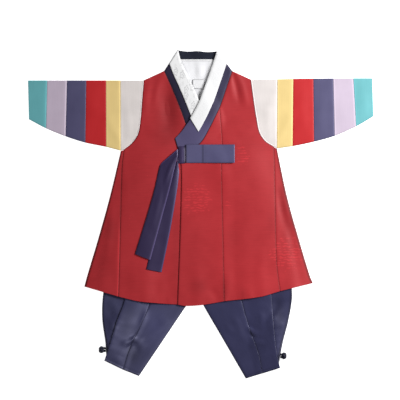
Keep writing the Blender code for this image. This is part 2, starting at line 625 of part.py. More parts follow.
def tie(under, garment):
    """The bow: a loop folded at its end, two tails and the knot that gathers them."""
    left = straight((LOOP_LEFT, LOOP_TOP), (LOOP_LEFT, LOOP_BOTTOM), 3)
    right = straight((LOOP_RIGHT, LOOP_TOP), (LOOP_RIGHT, LOOP_BOTTOM), 3)
    plan = patch(left, right, straight(left[0], right[0], 8), straight(left[-1], right[-1], 8))
    lower = lay("tie_loop_lower", plan, under)
    upper = lay("tie_loop_upper", plan, ("tie_loop_lower",))
    add_cloth("tie_loop", fold_together((upper, lower[:, ::-1])), "navy", garment)
    beneath = under
    for name, tail in (("tie_tail_lower", TAIL_LOWER), ("tie_tail_upper", TAIL_UPPER)):
        left, right = smooth_line(tail["left"], 16), smooth_line(tail["right"], 16)
        plan = patch(left, right, straight(left[0], right[0], 3), straight(left[-1], right[-1], 3))
        add_cloth(name, lay(name, plan, beneath), "navy", garment)
        beneath = beneath + (name,)
    (x, y), (width, height, thickness) = KNOT_CENTRE, KNOT_SIZE
    left = straight((x - width / 2, y + height / 2), (x - width / 2, y - height / 2), 4)
    right = left + (width, 0.0)
    plan = patch(left, right, straight(left[0], right[0], 2), straight(left[-1], right[-1], 2))
    grid = lay("tie_knot", plan, under)
    grid[..., 2] += (thickness - WALL) / 2
    knot = add_cloth("tie_knot", grid, "navy", garment, thickness)
    rounding = knot.modifiers.new("rounding", "BEVEL")
    rounding.width = KNOT_ROUNDING * MM
    rounding.segments = 2


def ankle_buttons(garment):
    """A knotted ball at each outer ankle, on a short flat stem that meets the folded edge of the leg."""
    rows = LEG_TOP_ROWS + LEG_LOW_ROWS
    for side, (x, y), leg in (("r", BUTTON_R, LEG_R), ("l", BUTTON_L, LEG_L)):
        edge = smooth_line(leg["outer"], rows)
        ends = y + STEM_RADIUS * STEM_SPREAD * np.array([-1.0, 0.0, 1.0])
        edge_x = np.interp(ends, edge[::-1, 1], edge[::-1, 0])
        towards = math.copysign(1.0, edge_x[1] - x)
        length = np.abs(edge_x - x).min() - SEAM_GAP - STEM_CLEAR
        bm = bmesh.new()
        bmesh.ops.create_uvsphere(bm, u_segments=16, v_segments=10, radius=BUTTON_RADIUS * MM)
        for vert in bm.verts:
            vert.co.z *= BUTTON_FLATNESS
            vert.co += Vector((x, y, BUTTON_RADIUS * BUTTON_FLATNESS)) * MM
        mesh = bpy.data.meshes.new("ankle_button_" + side)
        bm.to_mesh(mesh)
        bm.free()
        mesh.shade_smooth()
        ball = add_object("ankle_button_" + side, mesh, "navy", *garment)
        bm = bmesh.new()
        turn = Matrix.Diagonal((1.0, STEM_SPREAD, 1.0, 1.0)) @ Matrix.Rotation(math.pi / 2, 4, "Y")
        move = Matrix.Translation(Vector((x + towards * length / 2, y, STEM_HEIGHT)) * MM)
        bmesh.ops.create_cone(
            bm, cap_ends=True, segments=10, radius1=STEM_RADIUS * MM, radius2=STEM_RADIUS * MM,
            depth=length * MM, matrix=move @ turn,
        )
        stem_mesh = bpy.data.meshes.new("ankle_stem_" + side)
        bm.to_mesh(stem_mesh)
        bm.free()
        stem = bpy.data.objects.new("ankle_stem_" + side, stem_mesh)
        guides = bpy.data.collections.get("guides")
        guides.objects.link(stem)
        stem.hide_render = True
        stem.display_type = "WIRE"
        union = ball.modifiers.new("stem", "BOOLEAN")
        union.operation = "UNION"
        union.object = stem


def build():
    clear_scene()
    collection = bpy.data.collections.new("hanbok")
    guides = bpy.data.collections.new("guides")
    bpy.context.scene.collection.children.link(collection)
    bpy.context.scene.collection.children.link(guides)
    root = bpy.data.objects.new("garment", None)
    collection.objects.link(root)
    garment = (collection, root)
    lines = {
        "armhole_r": smooth_line(ARMHOLE_R, ARMHOLE_ROWS),
        "armhole_l": smooth_line(ARMHOLE_L, ARMHOLE_ROWS),
        "gore_r": smooth_line(GORE_SEAM_R, SKIRT_ROWS),
        "gore_l": smooth_line(GORE_SEAM_L, SKIRT_ROWS),
        "side_r": smooth_line(SIDE_R, SKIRT_ROWS),
        "side_l": smooth_line(SIDE_L, SKIRT_ROWS),
        "outer_r": smooth_line(BAND_OUTER_R, NECK_ROWS_R),
        "inner_r": smooth_line(BAND_INNER_R, NECK_ROWS_R),
        "outer_l_high": smooth_line(BAND_OUTER_L_HIGH, NECK_ROWS_L),
        "outer_l_low": smooth_line(BAND_OUTER_L_LOW, COLLAR_LOW_ROWS),
        "inner_l_high": smooth_line(BAND_INNER_L_HIGH, NECK_ROWS_L),
        "inner_l_low": smooth_line(BAND_INNER_L_LOW, COLLAR_LOW_ROWS),
    }
    sleeve_bands("r", SLEEVE_R, lines["armhole_r"], garment)
    sleeve_bands("l", SLEEVE_L, lines["armhole_l"], garment)
    coat_backs(lines, garment)
    gore_backs(lines)
    inside = neck_inside(garment)
    legs = trousers(garment)
    backs = ("coat_back_r", "coat_back_l", "gore_back_r", "gore_back_l")
    low = (HEM_SIDE_R[0] - DRAPE_CELL, HEM_STRIP_LINE[1][1] - DRAPE_CELL)
    high = (HEM_SIDE_L[0] + DRAPE_CELL, BAND_TOP_R[1] + 2 * DRAPE_CELL)
    drape_over("coat_ground", backs + inside + legs, low, high)
    gores(lines, garment)
    crossed = right_front(lines, garment)
    over = left_front(lines, crossed, garment)
    tie(crossed + over, garment)
    ankle_buttons(garment)


if __name__ == "__main__":
    build()
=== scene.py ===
"""Looks of a small child's Korean first-birthday hanbok, laid flat: thin cloth panels with their folds.

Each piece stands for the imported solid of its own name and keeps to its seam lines. Plan sizes are in
millimetres: +X is the wearer's left, +Y points to the neck and +Z is up from the surface.
"""

import math

import bpy
import numpy as np
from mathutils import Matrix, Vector, noise


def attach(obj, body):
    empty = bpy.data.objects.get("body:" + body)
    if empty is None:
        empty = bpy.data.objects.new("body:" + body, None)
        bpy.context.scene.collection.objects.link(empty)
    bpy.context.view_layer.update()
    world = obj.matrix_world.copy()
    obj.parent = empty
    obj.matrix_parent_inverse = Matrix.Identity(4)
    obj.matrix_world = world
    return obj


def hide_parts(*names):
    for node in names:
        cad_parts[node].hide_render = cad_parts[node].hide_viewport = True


bl_info = {
    "name": "First-birthday hanbok",
    "version": (1, 0, 0),
    "blender": (4, 5, 0),
    "location": "View3D > Sidebar > Hanbok",
    "description": "Dresses the flat-laid hanbok with silk panels, collar, tie and knot buttons",
    "category": "Object",
}

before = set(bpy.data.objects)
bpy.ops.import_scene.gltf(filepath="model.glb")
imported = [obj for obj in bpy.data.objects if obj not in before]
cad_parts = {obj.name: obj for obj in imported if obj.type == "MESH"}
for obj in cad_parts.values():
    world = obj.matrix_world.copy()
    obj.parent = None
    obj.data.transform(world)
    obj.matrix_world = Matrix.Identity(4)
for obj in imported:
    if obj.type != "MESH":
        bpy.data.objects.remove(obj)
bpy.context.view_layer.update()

MM = 0.001
BODY = "root"

# Layers as the solids have them: their wall and the step from one layer to the next. Sewn edges meet in a
# valley here, so that no light comes through a seam. The strip inside the nape keeps a gap.
WALL = 1.1
LAYER = 1.5
STRIP_GAP = 0.3

# How an upper piece comes down beside a lower one
EDGE_MARGIN = 16.0
EDGE_ROUNDING = 8.0
DRAPE_SLOPE = 0.07

# The coat's front bridges the steps of what lies inside it: a smoothed height map
DRAPE_CELL = 6.0
DRAPE_SPREADS = 2
DRAPE_BLURS = 24
DRAPE_CLEAR = 0.3
GROUND_MARGIN = 12.0

# Rows that the seam lines are counted in
ARMHOLE_ROWS, SKIRT_ROWS = 8, 16
NECK_ROWS_R, NECK_ROWS_L, COLLAR_LOW_ROWS = 6, 4, 9
LEG_TOP_ROWS, LEG_LOW_ROWS = 8, 7
LEG_ROWS = LEG_TOP_ROWS + LEG_LOW_ROWS
COAT_ROWS = ARMHOLE_ROWS + SKIRT_ROWS
STRIP_ROWS = COAT_ROWS - NECK_ROWS_L

# Cross lines beside an edge, so that a seam's groove and a rolled edge have their own small faces
SEAM_LINES = (0.9, 2.0, 3.6)
HEM_LINES = (0.9, 2.2, 4.0, 5.2, 6.4)
FOLD_STEPS = 7
FOLD_EASE = 12.0

# Coat, in plan. The wearer's right side lies at -X.
NECK_R, TIP_R, UNDERARM_R, SIDE_TOP_R = (-74.9, 294), (-116.7, 275), (-157.5, 133), (-163.8, 130.8)
NECK_L, TIP_L, UNDERARM_L, SIDE_TOP_L = (64.5, 294), (102.6, 276.5), (150, 138.5), (156.2, 135.5)
NAPE = (-4.5, 297)
ARMHOLE_R = (TIP_R, (-120.6, 228), (-123.2, 196), (-128.5, 165), (-140.5, 146.5), UNDERARM_R)
ARMHOLE_L = (TIP_L, (108.5, 232.3), (113.8, 198), (120.5, 167), (132.7, 149.5), UNDERARM_L)
HEM_SIDE_R, HEM_GORE_R = (-238.7, -147.6), (-168.8, -167.9)
HEM_SIDE_L, HEM_GORE_L = (230.1, -140.4), (162.5, -156.8)
HEM_OVERLAP, HEM_STRIP = (-47.5, -184.6), (48.1, -177.6)
HEM_CENTRE, HEM_UNDER = (-4.5, -184), (34, -178)
SIDE_R = (SIDE_TOP_R, (-186, 38), (-208.6, -44), (-233, -126), HEM_SIDE_R)
SIDE_L = (SIDE_TOP_L, (176.8, 38), (199.4, -44), (224, -126), HEM_SIDE_L)
GORE_SEAM_R = (UNDERARM_R, (-161, 100), (-165, -40), HEM_GORE_R)
GORE_SEAM_L = (UNDERARM_L, (150.6, 110), (153.6, -42), (155.9, -105.4), HEM_GORE_L)

# Collar bands: the outer line is sewn to the coat, the inner line is the free edge
BAND_TOP_R, BAND_TOP_L = (-47.7, 337), (34.5, 334.8)
BAND_OUTER_R = (NECK_R, (-56.7, 253.2), (-40.1, 211.4), (-30.2, 183.5), (-23.5, 165))
BAND_INNER_R = (BAND_TOP_R, (-40.7, 311.2), (-22.4, 272.9), (-3.2, 229.8), (13, 193))
STRIP_TOP = (38.4, 217.5)
BAND_OUTER_L_HIGH = (NECK_L, (56.3, 269.8), (43.6, 232.3), STRIP_TOP)
BAND_OUTER_L_LOW = (
    STRIP_TOP, (31.1, 203), (18.6, 177.7), (-0.3, 146.6), (-20, 136.5), (-46, 131.4),
)
BAND_INNER_L_HIGH = (BAND_TOP_L, (28.8, 316.7), (15.1, 276.5), (6.9, 254.4))
BAND_INNER_L_LOW = (
    (6.9, 254.4), (-2.4, 229.8), (-16.9, 202.3), (-29.8, 183.5), (-39, 170.5), (-53, 155.5),
)
WHITE_SHARE = 0.62
WHITE_LIP = 1.1
WHITE_LIP_STEPS = ((1, 0), (0.65, 0.3), (0.3, 0.25))
WHITE_ROWS_L = 9

# Front opening: the left front's edge strip lies over the right front, which runs on under it
STRIP_SEAM = (STRIP_TOP, (43.6, 146.6), (42.1, 101.5), (45, -40), HEM_STRIP)
OVERLAP_EDGE = ((-46, 131.4), (-40.5, 104), (-40.3, 29.7), (-44, -90), HEM_OVERLAP)
UNDER_EDGE = ((-23.5, 165), (10, 128), (28, 70), (31, -50), HEM_UNDER)
HEM_R = (HEM_GORE_R, (-131.9, -176.9), (-102, -180.6), (-48.7, -184.3), (-4.5, -184), HEM_UNDER)
HEM_STRIP_LINE = (HEM_OVERLAP, (-29, -187.4), (4.6, -185.1), HEM_STRIP)
HEM_L = (HEM_STRIP, (121.5, -168.6), HEM_GORE_L)
BACK_HEM_LIFT = 1.6
GORE_TOP_SHARE = 0.05

# Sleeve seams from the cuff in: the points on the top fold and on the lower seam
SLEEVE_R = (
    ((-354, 275), (-352, 195)),
    ((-314.6, 275), (-317, 176.7)),
    ((-274.2, 275), (-277, 160.3)),
    ((-234.8, 275), (-236.7, 147.4)),
    ((-194.2, 275), (-193.8, 138.6)),
    ((-164.5, 275), SIDE_TOP_R),
)
SLEEVE_L = (
    ((351.7, 279.5), (353.9, 201.3)),
    ((312.7, 279.5), (318.3, 180.4)),
    ((271.5, 279.2), (274.4, 161.1)),
    ((230.7, 278.8), (232.2, 149.2)),
    ((189.5, 278.2), (188.3, 140)),
    ((157.1, 277.4), SIDE_TOP_L),
)
SLEEVE_COLOURS = ("teal", "lilac", "navy", "red", "yellow", "white")

# Trousers: plan lines from the waist seam down to the ankle. The part above the coat's hem is hidden.
WAIST_Y, WAIST_TOP_Y = 95, 120
WAIST_R, WAIST_L = -103, 95
CROTCH = (-10, -156)
CENTRE_SEAM = ((-4, WAIST_Y), (-6, -60), CROTCH)
LEG_R = {
    "inner": (CROTCH, (-30.2, -187.6), (-78, -259), (-126.6, -331.1)),
    "seam": ((-55, WAIST_Y), (-75, -20), (-97, -140), (-104.2, -182), (-124.5, -230.2),
             (-144, -270.8), (-159.5, -318)),
    "pleat": ((-86, WAIST_Y), (-122, 0), (-148, -120), (-156.1, -174.7), (-172.7, -219.8),
              (-186.2, -264.9), (-197.7, -299.3)),
    "outer": ((-103, WAIST_Y), (-160, 0), (-191, -110), (-201, -170), (-202, -215),
              (-195.3, -265.5), (-193.5, -300.5)),
}
LEG_L = {
    "inner": (CROTCH, (5.6, -186.3), (50, -263), (92.4, -336.2)),
    "seam": ((47, WAIST_Y), (61, -20), (79, -140), (84.4, -179.8), (101.8, -239.4),
             (119, -288.4), (126, -325.7)),
    "pleat": ((78, WAIST_Y), (112, 0), (138, -120), (144.8, -166), (150.6, -238),
              (156, -284), (162.9, -314.3)),
    "outer": ((95, WAIST_Y), (150, 0), (180, -110), (187.5, -165), (180.1, -216.5),
              (168.5, -262), (158.5, -315.6)),
}
PLEAT_DEPTH_TOP, PLEAT_DEPTH_ANKLE = 6, 15

# Knotted buttons at the outer ankles
BUTTON_R, BUTTON_L = (-203.6, -276.8), (170.6, -289.5)
BUTTON_RADIUS = 6.8
BUTTON_FLATNESS = 0.85

# Neck lining, nape band and label
NAPE_DIP, NAPE_WAVE = 1.6, 0.7
LINING_EDGE_R = ((-56, 314.6), (-36, 265), (-17, 214))
LINING_EDGE_L = ((43, 314.6), (27, 265), (12, 214))
NECK_STRIP_WIDTH = 3
LABEL_CENTRE, LABEL_SIZE = (-5, 267.5), (24, 19)
LABEL_CORNER_FROM, LABEL_CORNER = (0.8, 0.75), 0.18

# Tie: a single bow loop to the wearer's left and two long tails
LOOP_LEFT, LOOP_RIGHT, LOOP_BOTTOM, LOOP_TOP = -30.5, 69.8, 105.6, 143.3
TAIL_UPPER = {
    "left": ((-46.5, 134), (-64, 119), (-80, 105.4), (-84, 98.5), (-98.5, 37), (-134.6, -81)),
    "right": ((-46.5, 119), (-52, 100), (-62, 58), (-75, 10), (-103.2, -93.5)),
}
TAIL_LOWER = {
    "left": ((-46.5, 117.5), (-56, 84), (-76, 20), (-94, -40), (-111.6, -112.3)),
    "right": ((-46.5, 107.5), (-44.5, 84), (-53, 22.5), (-64, -40), (-80.3, -118.5)),
}
KNOT_CENTRE, KNOT_SIZE = (-38.5, 124.5), (15, 40)

# Soft waves that the coat's hem stands in: x at the hem, drift for each mm up, reach, height and width
HEM_LEVEL = -178
HEM_WAVES = (
    (-205, 0.16, 190, 2.2, 19),
    (-112, 0.06, 170, 2.4, 21),
    (92, -0.05, 160, 2.4, 22),
    (196, -0.17, 190, 2.2, 19),
)

# Creases: three points that each runs through, its height (below zero for a trough), its width and its
# strength at the line's start and end
COAT_CREASES = (
    ((-76, 289), (-88, 262), (-96, 222), 0.8, 6, 1, 0),
    ((-66, 262), (-68, 228), (-62, 176), -3, 15, 0.5, 0.2),
    ((-106, 276), (-112, 236), (-114, 196), 0.8, 7, 0.4, 0),
    ((62, 291), (61, 268), (66, 234), 0.6, 5, 1, 0),
    ((66, 288), (73, 264), (80, 224), -1, 5, 0.9, 0),
    ((72, 289), (85, 262), (95, 216), 0.9, 6.5, 1, 0),
    ((-118, 190), (-96, 172), (-66, 166), 0.6, 8, 0.3, 0),
    ((112, 186), (96, 172), (70, 168), 0.6, 8, 0.3, 0),
    ((-158, 118), (-152, 60), (-156, 0), 0.6, 8, 0.6, 0),
    ((-176, 30), (-186, -30), (-192, -96), 0.9, 8, 0, 0.2),
    ((-198, -60), (-208, -100), (-214, -150), -0.6, 7, 0, 0.6),
    ((164, 60), (176, -4), (180, -70), 0.9, 8, 0, 0),
    ((178, -20), (190, -70), (204, -140), -0.6, 8, 0, 0.8),
    ((160, 56), (170, 4), (187, -56), -1.5, 9, 0.2, 0.2),
    ((16, -150), (28, -162), (34, -180), -1.3, 8, 0.2, 0.6),
    ((-2, -186), (-6, -140), (-2, -92), 1, 12, 1, 0),
    ((50, -178), (56, -140), (58, -110), 0.9, 9, 1, 0),
    ((-84, -182), (-80, -150), (-82, -118), 0.7, 9, 1, 0),
    ((128, -168), (124, -120), (128, -70), 0.8, 11, 1, 0),
    ((-140, -172), (-136, -130), (-140, -92), 0.7, 10, 1, 0),
    ((6, 96), (60, 84), (112, 92), 0.5, 12, 0, 0),
    # short puckers that the hem stitches draw
    ((-62, -185), (-64, -176), (-60, -166), 0.7, 2.6, 1, 0),
    ((-92, -184), (-93, -174), (-96, -165), 0.5, 2.4, 1, 0),
    ((66, -178), (68, -168), (66, -160), 0.6, 2.4, 1, 0),
    ((104, -172), (101, -162), (102, -150), 0.7, 2.8, 1, 0),
    ((24, -185), (22, -176), (25, -170), -0.5, 2.4, 1, 0),
)
BACK_CREASES = (
    ((-120, 230), (-80, 190), (-50, 120), 0.6, 9, 0.3, 0),
    ((110, 220), (78, 180), (56, 110), 0.6, 9, 0.3, 0),
    ((-60, -180), (-56, -120), (-64, -40), 0.8, 10, 1, 0),
    ((70, -176), (64, -110), (72, -30), 0.8, 10, 1, 0),
    ((-130, -172), (-122, -120), (-126, -60), 0.7, 9, 1, 0),
    ((132, -166), (126, -100), (130, -50), 0.7, 9, 1, 0),
    ((-150, 120), (-120, 60), (-110, -10), 0.5, 9, 0.6, 0),
)
SLEEVE_CREASES = (
    ((-158, 138), (-176, 168), (-196, 214), 0.8, 8, 0.8, 0),
    ((-150, 146), (-148, 190), (-158, 246), 0.7, 8, 0.6, 0),
    ((-250, 158), (-256, 200), (-250, 250), 0.5, 11, 0.2, 0),
    ((-330, 190), (-322, 220), (-330, 262), 0.5, 10, 0.3, 0),
    ((-214, 262), (-222, 224), (-214, 170), 0.5, 12, 0.3, 0),
    ((152, 142), (170, 172), (190, 220), 0.8, 8, 0.8, 0),
    ((142, 152), (138, 196), (146, 250), 0.7, 8, 0.6, 0),
    ((250, 160), (244, 206), (252, 254), 0.5, 11, 0.2, 0),
    ((330, 196), (336, 226), (330, 264), 0.5, 10, 0.3, 0),
    ((212, 262), (208, 216), (216, 166), 0.5, 12, 0.3, 0),
)
LEG_CREASES = (
    # right leg: the star of short wrinkles that a catch in the seam draws, and the soft outer folds
    ((-139, -257), (-148, -262), (-161, -262), 1.8, 3.6, 1, 0),
    ((-139, -262), (-148, -271), (-156, -284), -1, 3.2, 0.8, 0),
    ((-137, -254), (-128, -258), (-116, -256), 1.6, 3.6, 1, 0),
    ((-138, -262), (-131, -272), (-128, -286), -1, 3.4, 0.9, 0),
    ((-140, -250), (-133, -240), (-122, -232), -0.8, 3.2, 0.8, 0),
    ((-134, -264), (-124, -268), (-112, -270), 1.1, 3.6, 0.6, 0),
    ((-108, -190), (-118, -216), (-130, -242), 1.3, 4.5, 0, 0.6),
    ((-188, -214), (-181, -226), (-184, -246), 1.6, 4.5, 0, 0),
    ((-196, -190), (-184, -204), (-178, -224), -1, 4.5, 0, 0),
    ((-190, -176), (-178, -186), (-168, -200), 1.3, 5, 0.3, 0),
    ((-90, -206), (-72, -220), (-60, -226), 0.8, 7, 0, 0),
    ((-184, -292), (-170, -297), (-160, -302), 1, 3, 0.3, 0),
    # left leg: small troughs between seam and pleat, and the slanting fold of the outer part
    ((100, -236), (109, -243), (120, -243), 1.6, 3.6, 0.8, 0),
    ((104, -246), (112, -252), (124, -251), -1, 3.2, 0.8, 0),
    ((104, -270), (116, -262), (130, -262), 1.6, 3.8, 0.8, 0),
    ((112, -282), (122, -272), (134, -270), -0.8, 3.4, 0.6, 0),
    ((98, -226), (106, -232), (112, -222), -0.8, 3.4, 0.8, 0),
    ((118, -196), (124, -212), (122, -234), 0.8, 6, 0, 0),
    ((141, -220), (154, -203), (174, -186), 1.6, 5.5, 0.6, 0.4),
    ((142, -212), (152, -194), (160, -176), -1.1, 5, 0.4, 0.4),
    ((146, -236), (158, -226), (172, -224), 0.9, 4.5, 0.3, 0),
    ((40, -226), (62, -238), (84, -236), 0.6, 9, 0, 0),
    ((60, -200), (74, -224), (90, -262), 1.1, 7, 0, 0.2),
)
LEG_BACK_CREASES = (
    ((-150, -280), (-158, -262), (-176, -250), 0.9, 4.5, 0.6, 0),
    ((-118, -214), (-134, -224), (-158, -222), 0.7, 5.5, 0.5, 0),
    ((-70, -216), (-82, -232), (-104, -242), 0.7, 6, 0.3, 0),
    ((108, -262), (120, -250), (142, -246), 0.9, 4.5, 0.6, 0),
    ((96, -210), (118, -206), (136, -214), 0.6, 5.5, 0.4, 0),
    ((52, -222), (64, -240), (84, -252), 0.7, 6, 0.3, 0),
)
LINING_CREASES = (
    ((-36, 312), (-29, 290), (-20, 262), 1.4, 4, 0.6, 0),
    ((-16, 312), (-13, 296), (-14, 280), -0.9, 4, 0.6, 0),
    ((-4, 312), (-2, 292), (-6, 276), 1.1, 4.5, 0.6, 0),
    ((12, 312), (10, 296), (8, 282), -0.9, 4, 0.6, 0),
    ((24, 312), (20, 290), (14, 262), 1.2, 4, 0.6, 0),
    ((-12, 252), (-6, 238), (-2, 220), 1.2, 3, 0.2, 0.2),
)
TAIL_CREASES = (
    ((-48, 122), (-62, 96), (-74, 60), 0.8, 4, 1, 0),
    ((-47, 112), (-52, 80), (-62, 30), 0.6, 3.5, 1, 0),
    ((-78, 60), (-88, 20), (-100, -30), 0.4, 6, 0, 0),
)
# Clusters of the damask's figure on the coat: centre, half width, half height and strength
FIGURES = (
    (86, 120, 17, 25, 1),
    (-8, 32, 34, 38, 1),
    (56, 21, 9, 10, 0.9),
    (175, -80, 40, 38, 1),
    (-30, -80, 10, 12, 0.6),
    (-117, 76, 22, 9, 0.6),
    (-141, -16, 14, 14, 0.6),
    (-212, -112, 22, 26, 0.6),
    (98, -36, 14, 16, 0.4),
)
# Spots of painted shade, for a dip in the silk, and of painted highlight (below zero), for a swell; they
# # change only the colour: centre, half width, half height and strength
COAT_PAINTED_SPOTS = (
    (-60, 214, 22, 48, 0.40),
    (-125, 40, 60, 70, 0.10),
    (-196, -90, 30, 60, 0.10),
    (0, 40, 26, 50, -0.10),
    (-76, 160, 26, 22, 0.15),
    (80, 262, 12, 26, 0.16),
    (-4, -146, 15, 14, 0.20),
    (63, -46, 12, 16, 0.10),
    (50, -158, 5, 16, 0.22),
    (87, -164, 4, 10, 0.22),
    (168, 30, 8, 40, 0.26),
    (182, -20, 8, 40, 0.22),
    (144, -14, 6, 16, 0.12),
    (-186, -32, 10, 24, 0.24),
    (-206, -110, 12, 30, 0.12),
    (-50, -60, 7, 90, 0.14),
    (120, -140, 60, 50, -0.16),
    (40, 0, 30, 120, -0.10),
)
TROUSER_PAINTED_SPOTS = (
    (-138, -282, 14, 26, 0.50),
    (-148, -210, 12, 26, 0.28),
    (-184, -200, 14, 34, 0.18),
    (-92, -226, 22, 30, -0.60),
    (108, -212, 18, 26, -0.20),
    (162, -216, 10, 20, 0.45),
    (158, -180, 10, 16, 0.30),
)
PAINTED_SPOTS = {"silk_damask_red": COAT_PAINTED_SPOTS, "silk_satin_navy": TROUSER_PAINTED_SPOTS}
# Half widths at which a cluster has ended, and how softly a spot of painted shade or highlight runs out
FIGURE_EDGE, PAINTED_SPOT_SPREAD = 1.6, 1.4
# Loop of the tie: the ribbon steps down where it is doubled, with painted shade on the step and on a second
# line
# # beside it, and its end is lifted a little
LOOP_STEP_X, LOOP_STEP, LOOP_STEP_WIDTH = 4.4, -0.5, 1.6
LOOP_SECOND_LINE = 6
LOOP_LINE_WIDTH, LOOP_SECOND_WIDTH = 1.4, 1.2
LOOP_LIFT_FROM, LOOP_LIFT = 10, 2.6

# Wrap of the bow: start across it, drift along it and height of each gather; then, across it, where its
# # painted shade on the left side ends, and the place, width and tone of the painted highlight crest and of
# the
# # painted shade in the gap before the loop
KNOT_GATHERS = (
    (-0.72, 0.1, 0.5), (-0.38, -0.08, -0.8), (-0.12, 0.12, 0.6), (0.2, -0.05, -0.9), (0.52, 0.1, 0.6),
)
KNOT_DARK, KNOT_TONES = -0.3, ((0.28, 0.14, -0.5), (0.74, 0.20, 1.8))
KNOT_DROP, KNOT_RISE, KNOT_WAIST, GATHER_WIDTH, GATHER_HEIGHT = 2.6, 1.1, 0.08, 0.10, 0.12
# Painted highlights: a light line along the tails' folded edges, and one more on the upper tail where its
# corner is turned
TAIL_LIGHT, TAIL_LIT_BELOW, TAIL_LIT_FADE = 2.6, 118, 12
CORNER_LIGHT, TAIL_CORNER_Y, CORNER_FADE = 3.4, 102, 4

# Ankle buttons: a three-strand braid round a core, and the two cords of the stem
BRAID_LEADS, BRAID_BIGHTS, BRAID_RADIUS = 3, 4, 2.2
BRAID_SWING, BRAID_WEAVE = 52, 0.55
STEM_SIDE, CORD_RADIUS, STEM_RISE, STEM_CLEAR = 2.9, 2.4, 1.6, 0.1
STRAND_SIDES = 10
BALL_ROWS, BALL_COLUMNS, BALL_LIFT = 18, 28, 1.55

# Piping of the armholes, and the painted highlight line along a band's seam towards the cuff and towards
# the armhole
PIPING_OFFSET, PIPING_RISE, PIPING_RADII = 1.1, 0.25, (0.95, 0.7)
SLEEVE_LINE_AT, SLEEVE_LINE_WIDTH = 2, 1.1
SLEEVE_LINES = {
    "teal": (0, 0.9), "lilac": (0.2, 1.1), "navy": (0, 0.3), "red": (0, 0), "yellow": (0.6, 0.9),
    "white": (0.5, 0),
}

# Painted tones at the seams: a sewn seam's painted shade, the width of a rolled edge's painted shade, and
# the painted highlight line on a gore
SEAM_SHADE, EDGE_WIDTH = 0.55, 2
GORES = (("r", SIDE_R, GORE_SEAM_R), ("l", SIDE_L, GORE_SEAM_L))
GORE_HIGHLIGHT = {"r": 0.8, "l": 0.1}
GORE_HIGHLIGHT_AT, GORE_HIGHLIGHT_WIDTH, GORE_HIGHLIGHT_FADE = 1.6, 1.1, 60
# The collar's end lies flat and gets a painted highlight, a lighter navy than the bands on the slope of the
# neck;
# # the right band gets painted shade all over
COLLAR_LIT_FROM, COLLAR_LIT_OVER, COLLAR_LIT, COLLAR_SHADED = 212, 34, 2.1, 0.5
# A seam allowance pressed to the right keeps the left side of these two seams nearly level
LIT_SEAM_DEPTH = 0.1
# A sewn edge of a layer that lies on the surface is drawn up, towards the layer above it
DRAWN_UP = -0.3
# Painted shade inside the folds of a sleeve, a gore and a leg
SLEEVE_FOLD_SHADE, GORE_FOLD_SHADE, LEG_FOLD_SHADE = 0.3, 0.8, 0.9
# Painted shade on the lining, darker towards the bottom of the neck's V: where it starts and how far it
# grows
LINING_SHADE_FROM, LINING_SHADE_OVER = 262, 60

# Legs: stitch line above the ankle, and how far the layers inside lift the cloth over the pleat
HEM_STITCH, HEM_STEP, STITCH_WIDTH, STITCH_DEPTH = 5.2, 0.25, 0.7, 0.3
LEG_DOME, LEG_LEVEL, DOME_REACH, DOME_FADE = 7, -180, 52, 40
DOME_HEM_FADE, DOME_HEM_SHARE = 30, 0.25

# The coat's layers that lie under the tie
CROSSED = ("coat_front_r", "collar_r", "collar_white_r")
OVER = ("coat_overlap_l", "coat_front_l", "collar_l", "collar_white_l")

SILK_IOR = 1.54
THREAD_BUMP, THREAD_RELIEF = 0.15, 0.0004
# Blossoms of the edging: spacing, petal and place of the large and the small ones, in metres
BLOSSOMS = ((0.021, 0.0052, 0.11), (0.013, 0.0026, 0.47))
# Size of a gap in the cloud lines and their spacing, in metres; a wave texture of scale 1 has this period
CLOUD_BREAK, CLOUD_ROWS, WAVE_PERIOD = 0.008, 0.0056, 0.314

# Camera: millimetres to a pixel and pixels to a side; its aim and its height in metres
PHOTO_SCALE, PHOTO_SIDE = 2.05, 400
VIEW_CENTRE, CAMERA_HEIGHT, SENSOR_WIDTH, VIEW_DEPTH = (-1.5, 29.7), 6.0, 36.0, 50.0
# Floor of matt paper, a weak world light, and each lamp's place, size and power
PAPER_WHITE, FLOOR_HALF, FLOOR_GLOW, WORLD_STRENGTH = "#fbfbfb", 2.5, 0.88, 0.10
LIGHTS = (
    ("softbox_right", (1.15, 0.50, 1.02), 0.7, 30.0),
    ("fill_low_left", (-1.20, -1.10, 1.40), 1.2, 9.0),
)
LIGHT_AIM = (0.0, 0.02, 0.0)

sheets = {}


def linear(code):
    """Turns an sRGB hex colour into linear red, green and blue."""
    parts = [int(code[i:i + 2], 16) / 255 for i in (1, 3, 5)]
    return tuple(x / 12.92 if x <= 0.04045 else ((x + 0.055) / 1.055) ** 2.4 for x in parts)


def limited(share):
    """Keeps a share between 0 and 1."""
    return np.clip(share, 0.0, 1.0)


def bell(distance, width):
    """A soft bump: 1 at no distance, and falling off over a width."""
    return np.exp(-((distance / width) ** 2))


def unit(vectors):
    """Vectors drawn out to a length of one."""
    return vectors / np.linalg.norm(vectors, axis=1)[:, None]


# Plan lines and panels


def curve(points, share):
    """Points of a smooth curve through plan points, at shares of its length."""
    pts = np.array(points, dtype=float)
    length = np.concatenate(([0.0], np.cumsum(np.linalg.norm(np.diff(pts, axis=0), axis=1))))
    tangents = np.empty_like(pts)
    tangents[0] = (pts[1] - pts[0]) / (length[1] - length[0])
    tangents[-1] = (pts[-1] - pts[-2]) / (length[-1] - length[-2])
    if len(pts) > 2:
        tangents[1:-1] = (pts[2:] - pts[:-2]) / (length[2:] - length[:-2])[:, None]
    at = limited(share) * length[-1]
    span = np.clip(np.searchsorted(length, at, side="right") - 1, 0, len(pts) - 2)
    size = (length[span + 1] - length[span])[:, None]
    t = ((at - length[span]) / size[:, 0])[:, None]
    start, end = pts[span], pts[span + 1]
    lead, trail = tangents[span] * size, tangents[span + 1] * size
    return (
        (2 * t**3 - 3 * t**2 + 1) * start
        + (t**3 - 2 * t**2 + t) * lead
        + (3 * t**2 - 2 * t**3) * end
        + (t**3 - t**2) * trail
    )


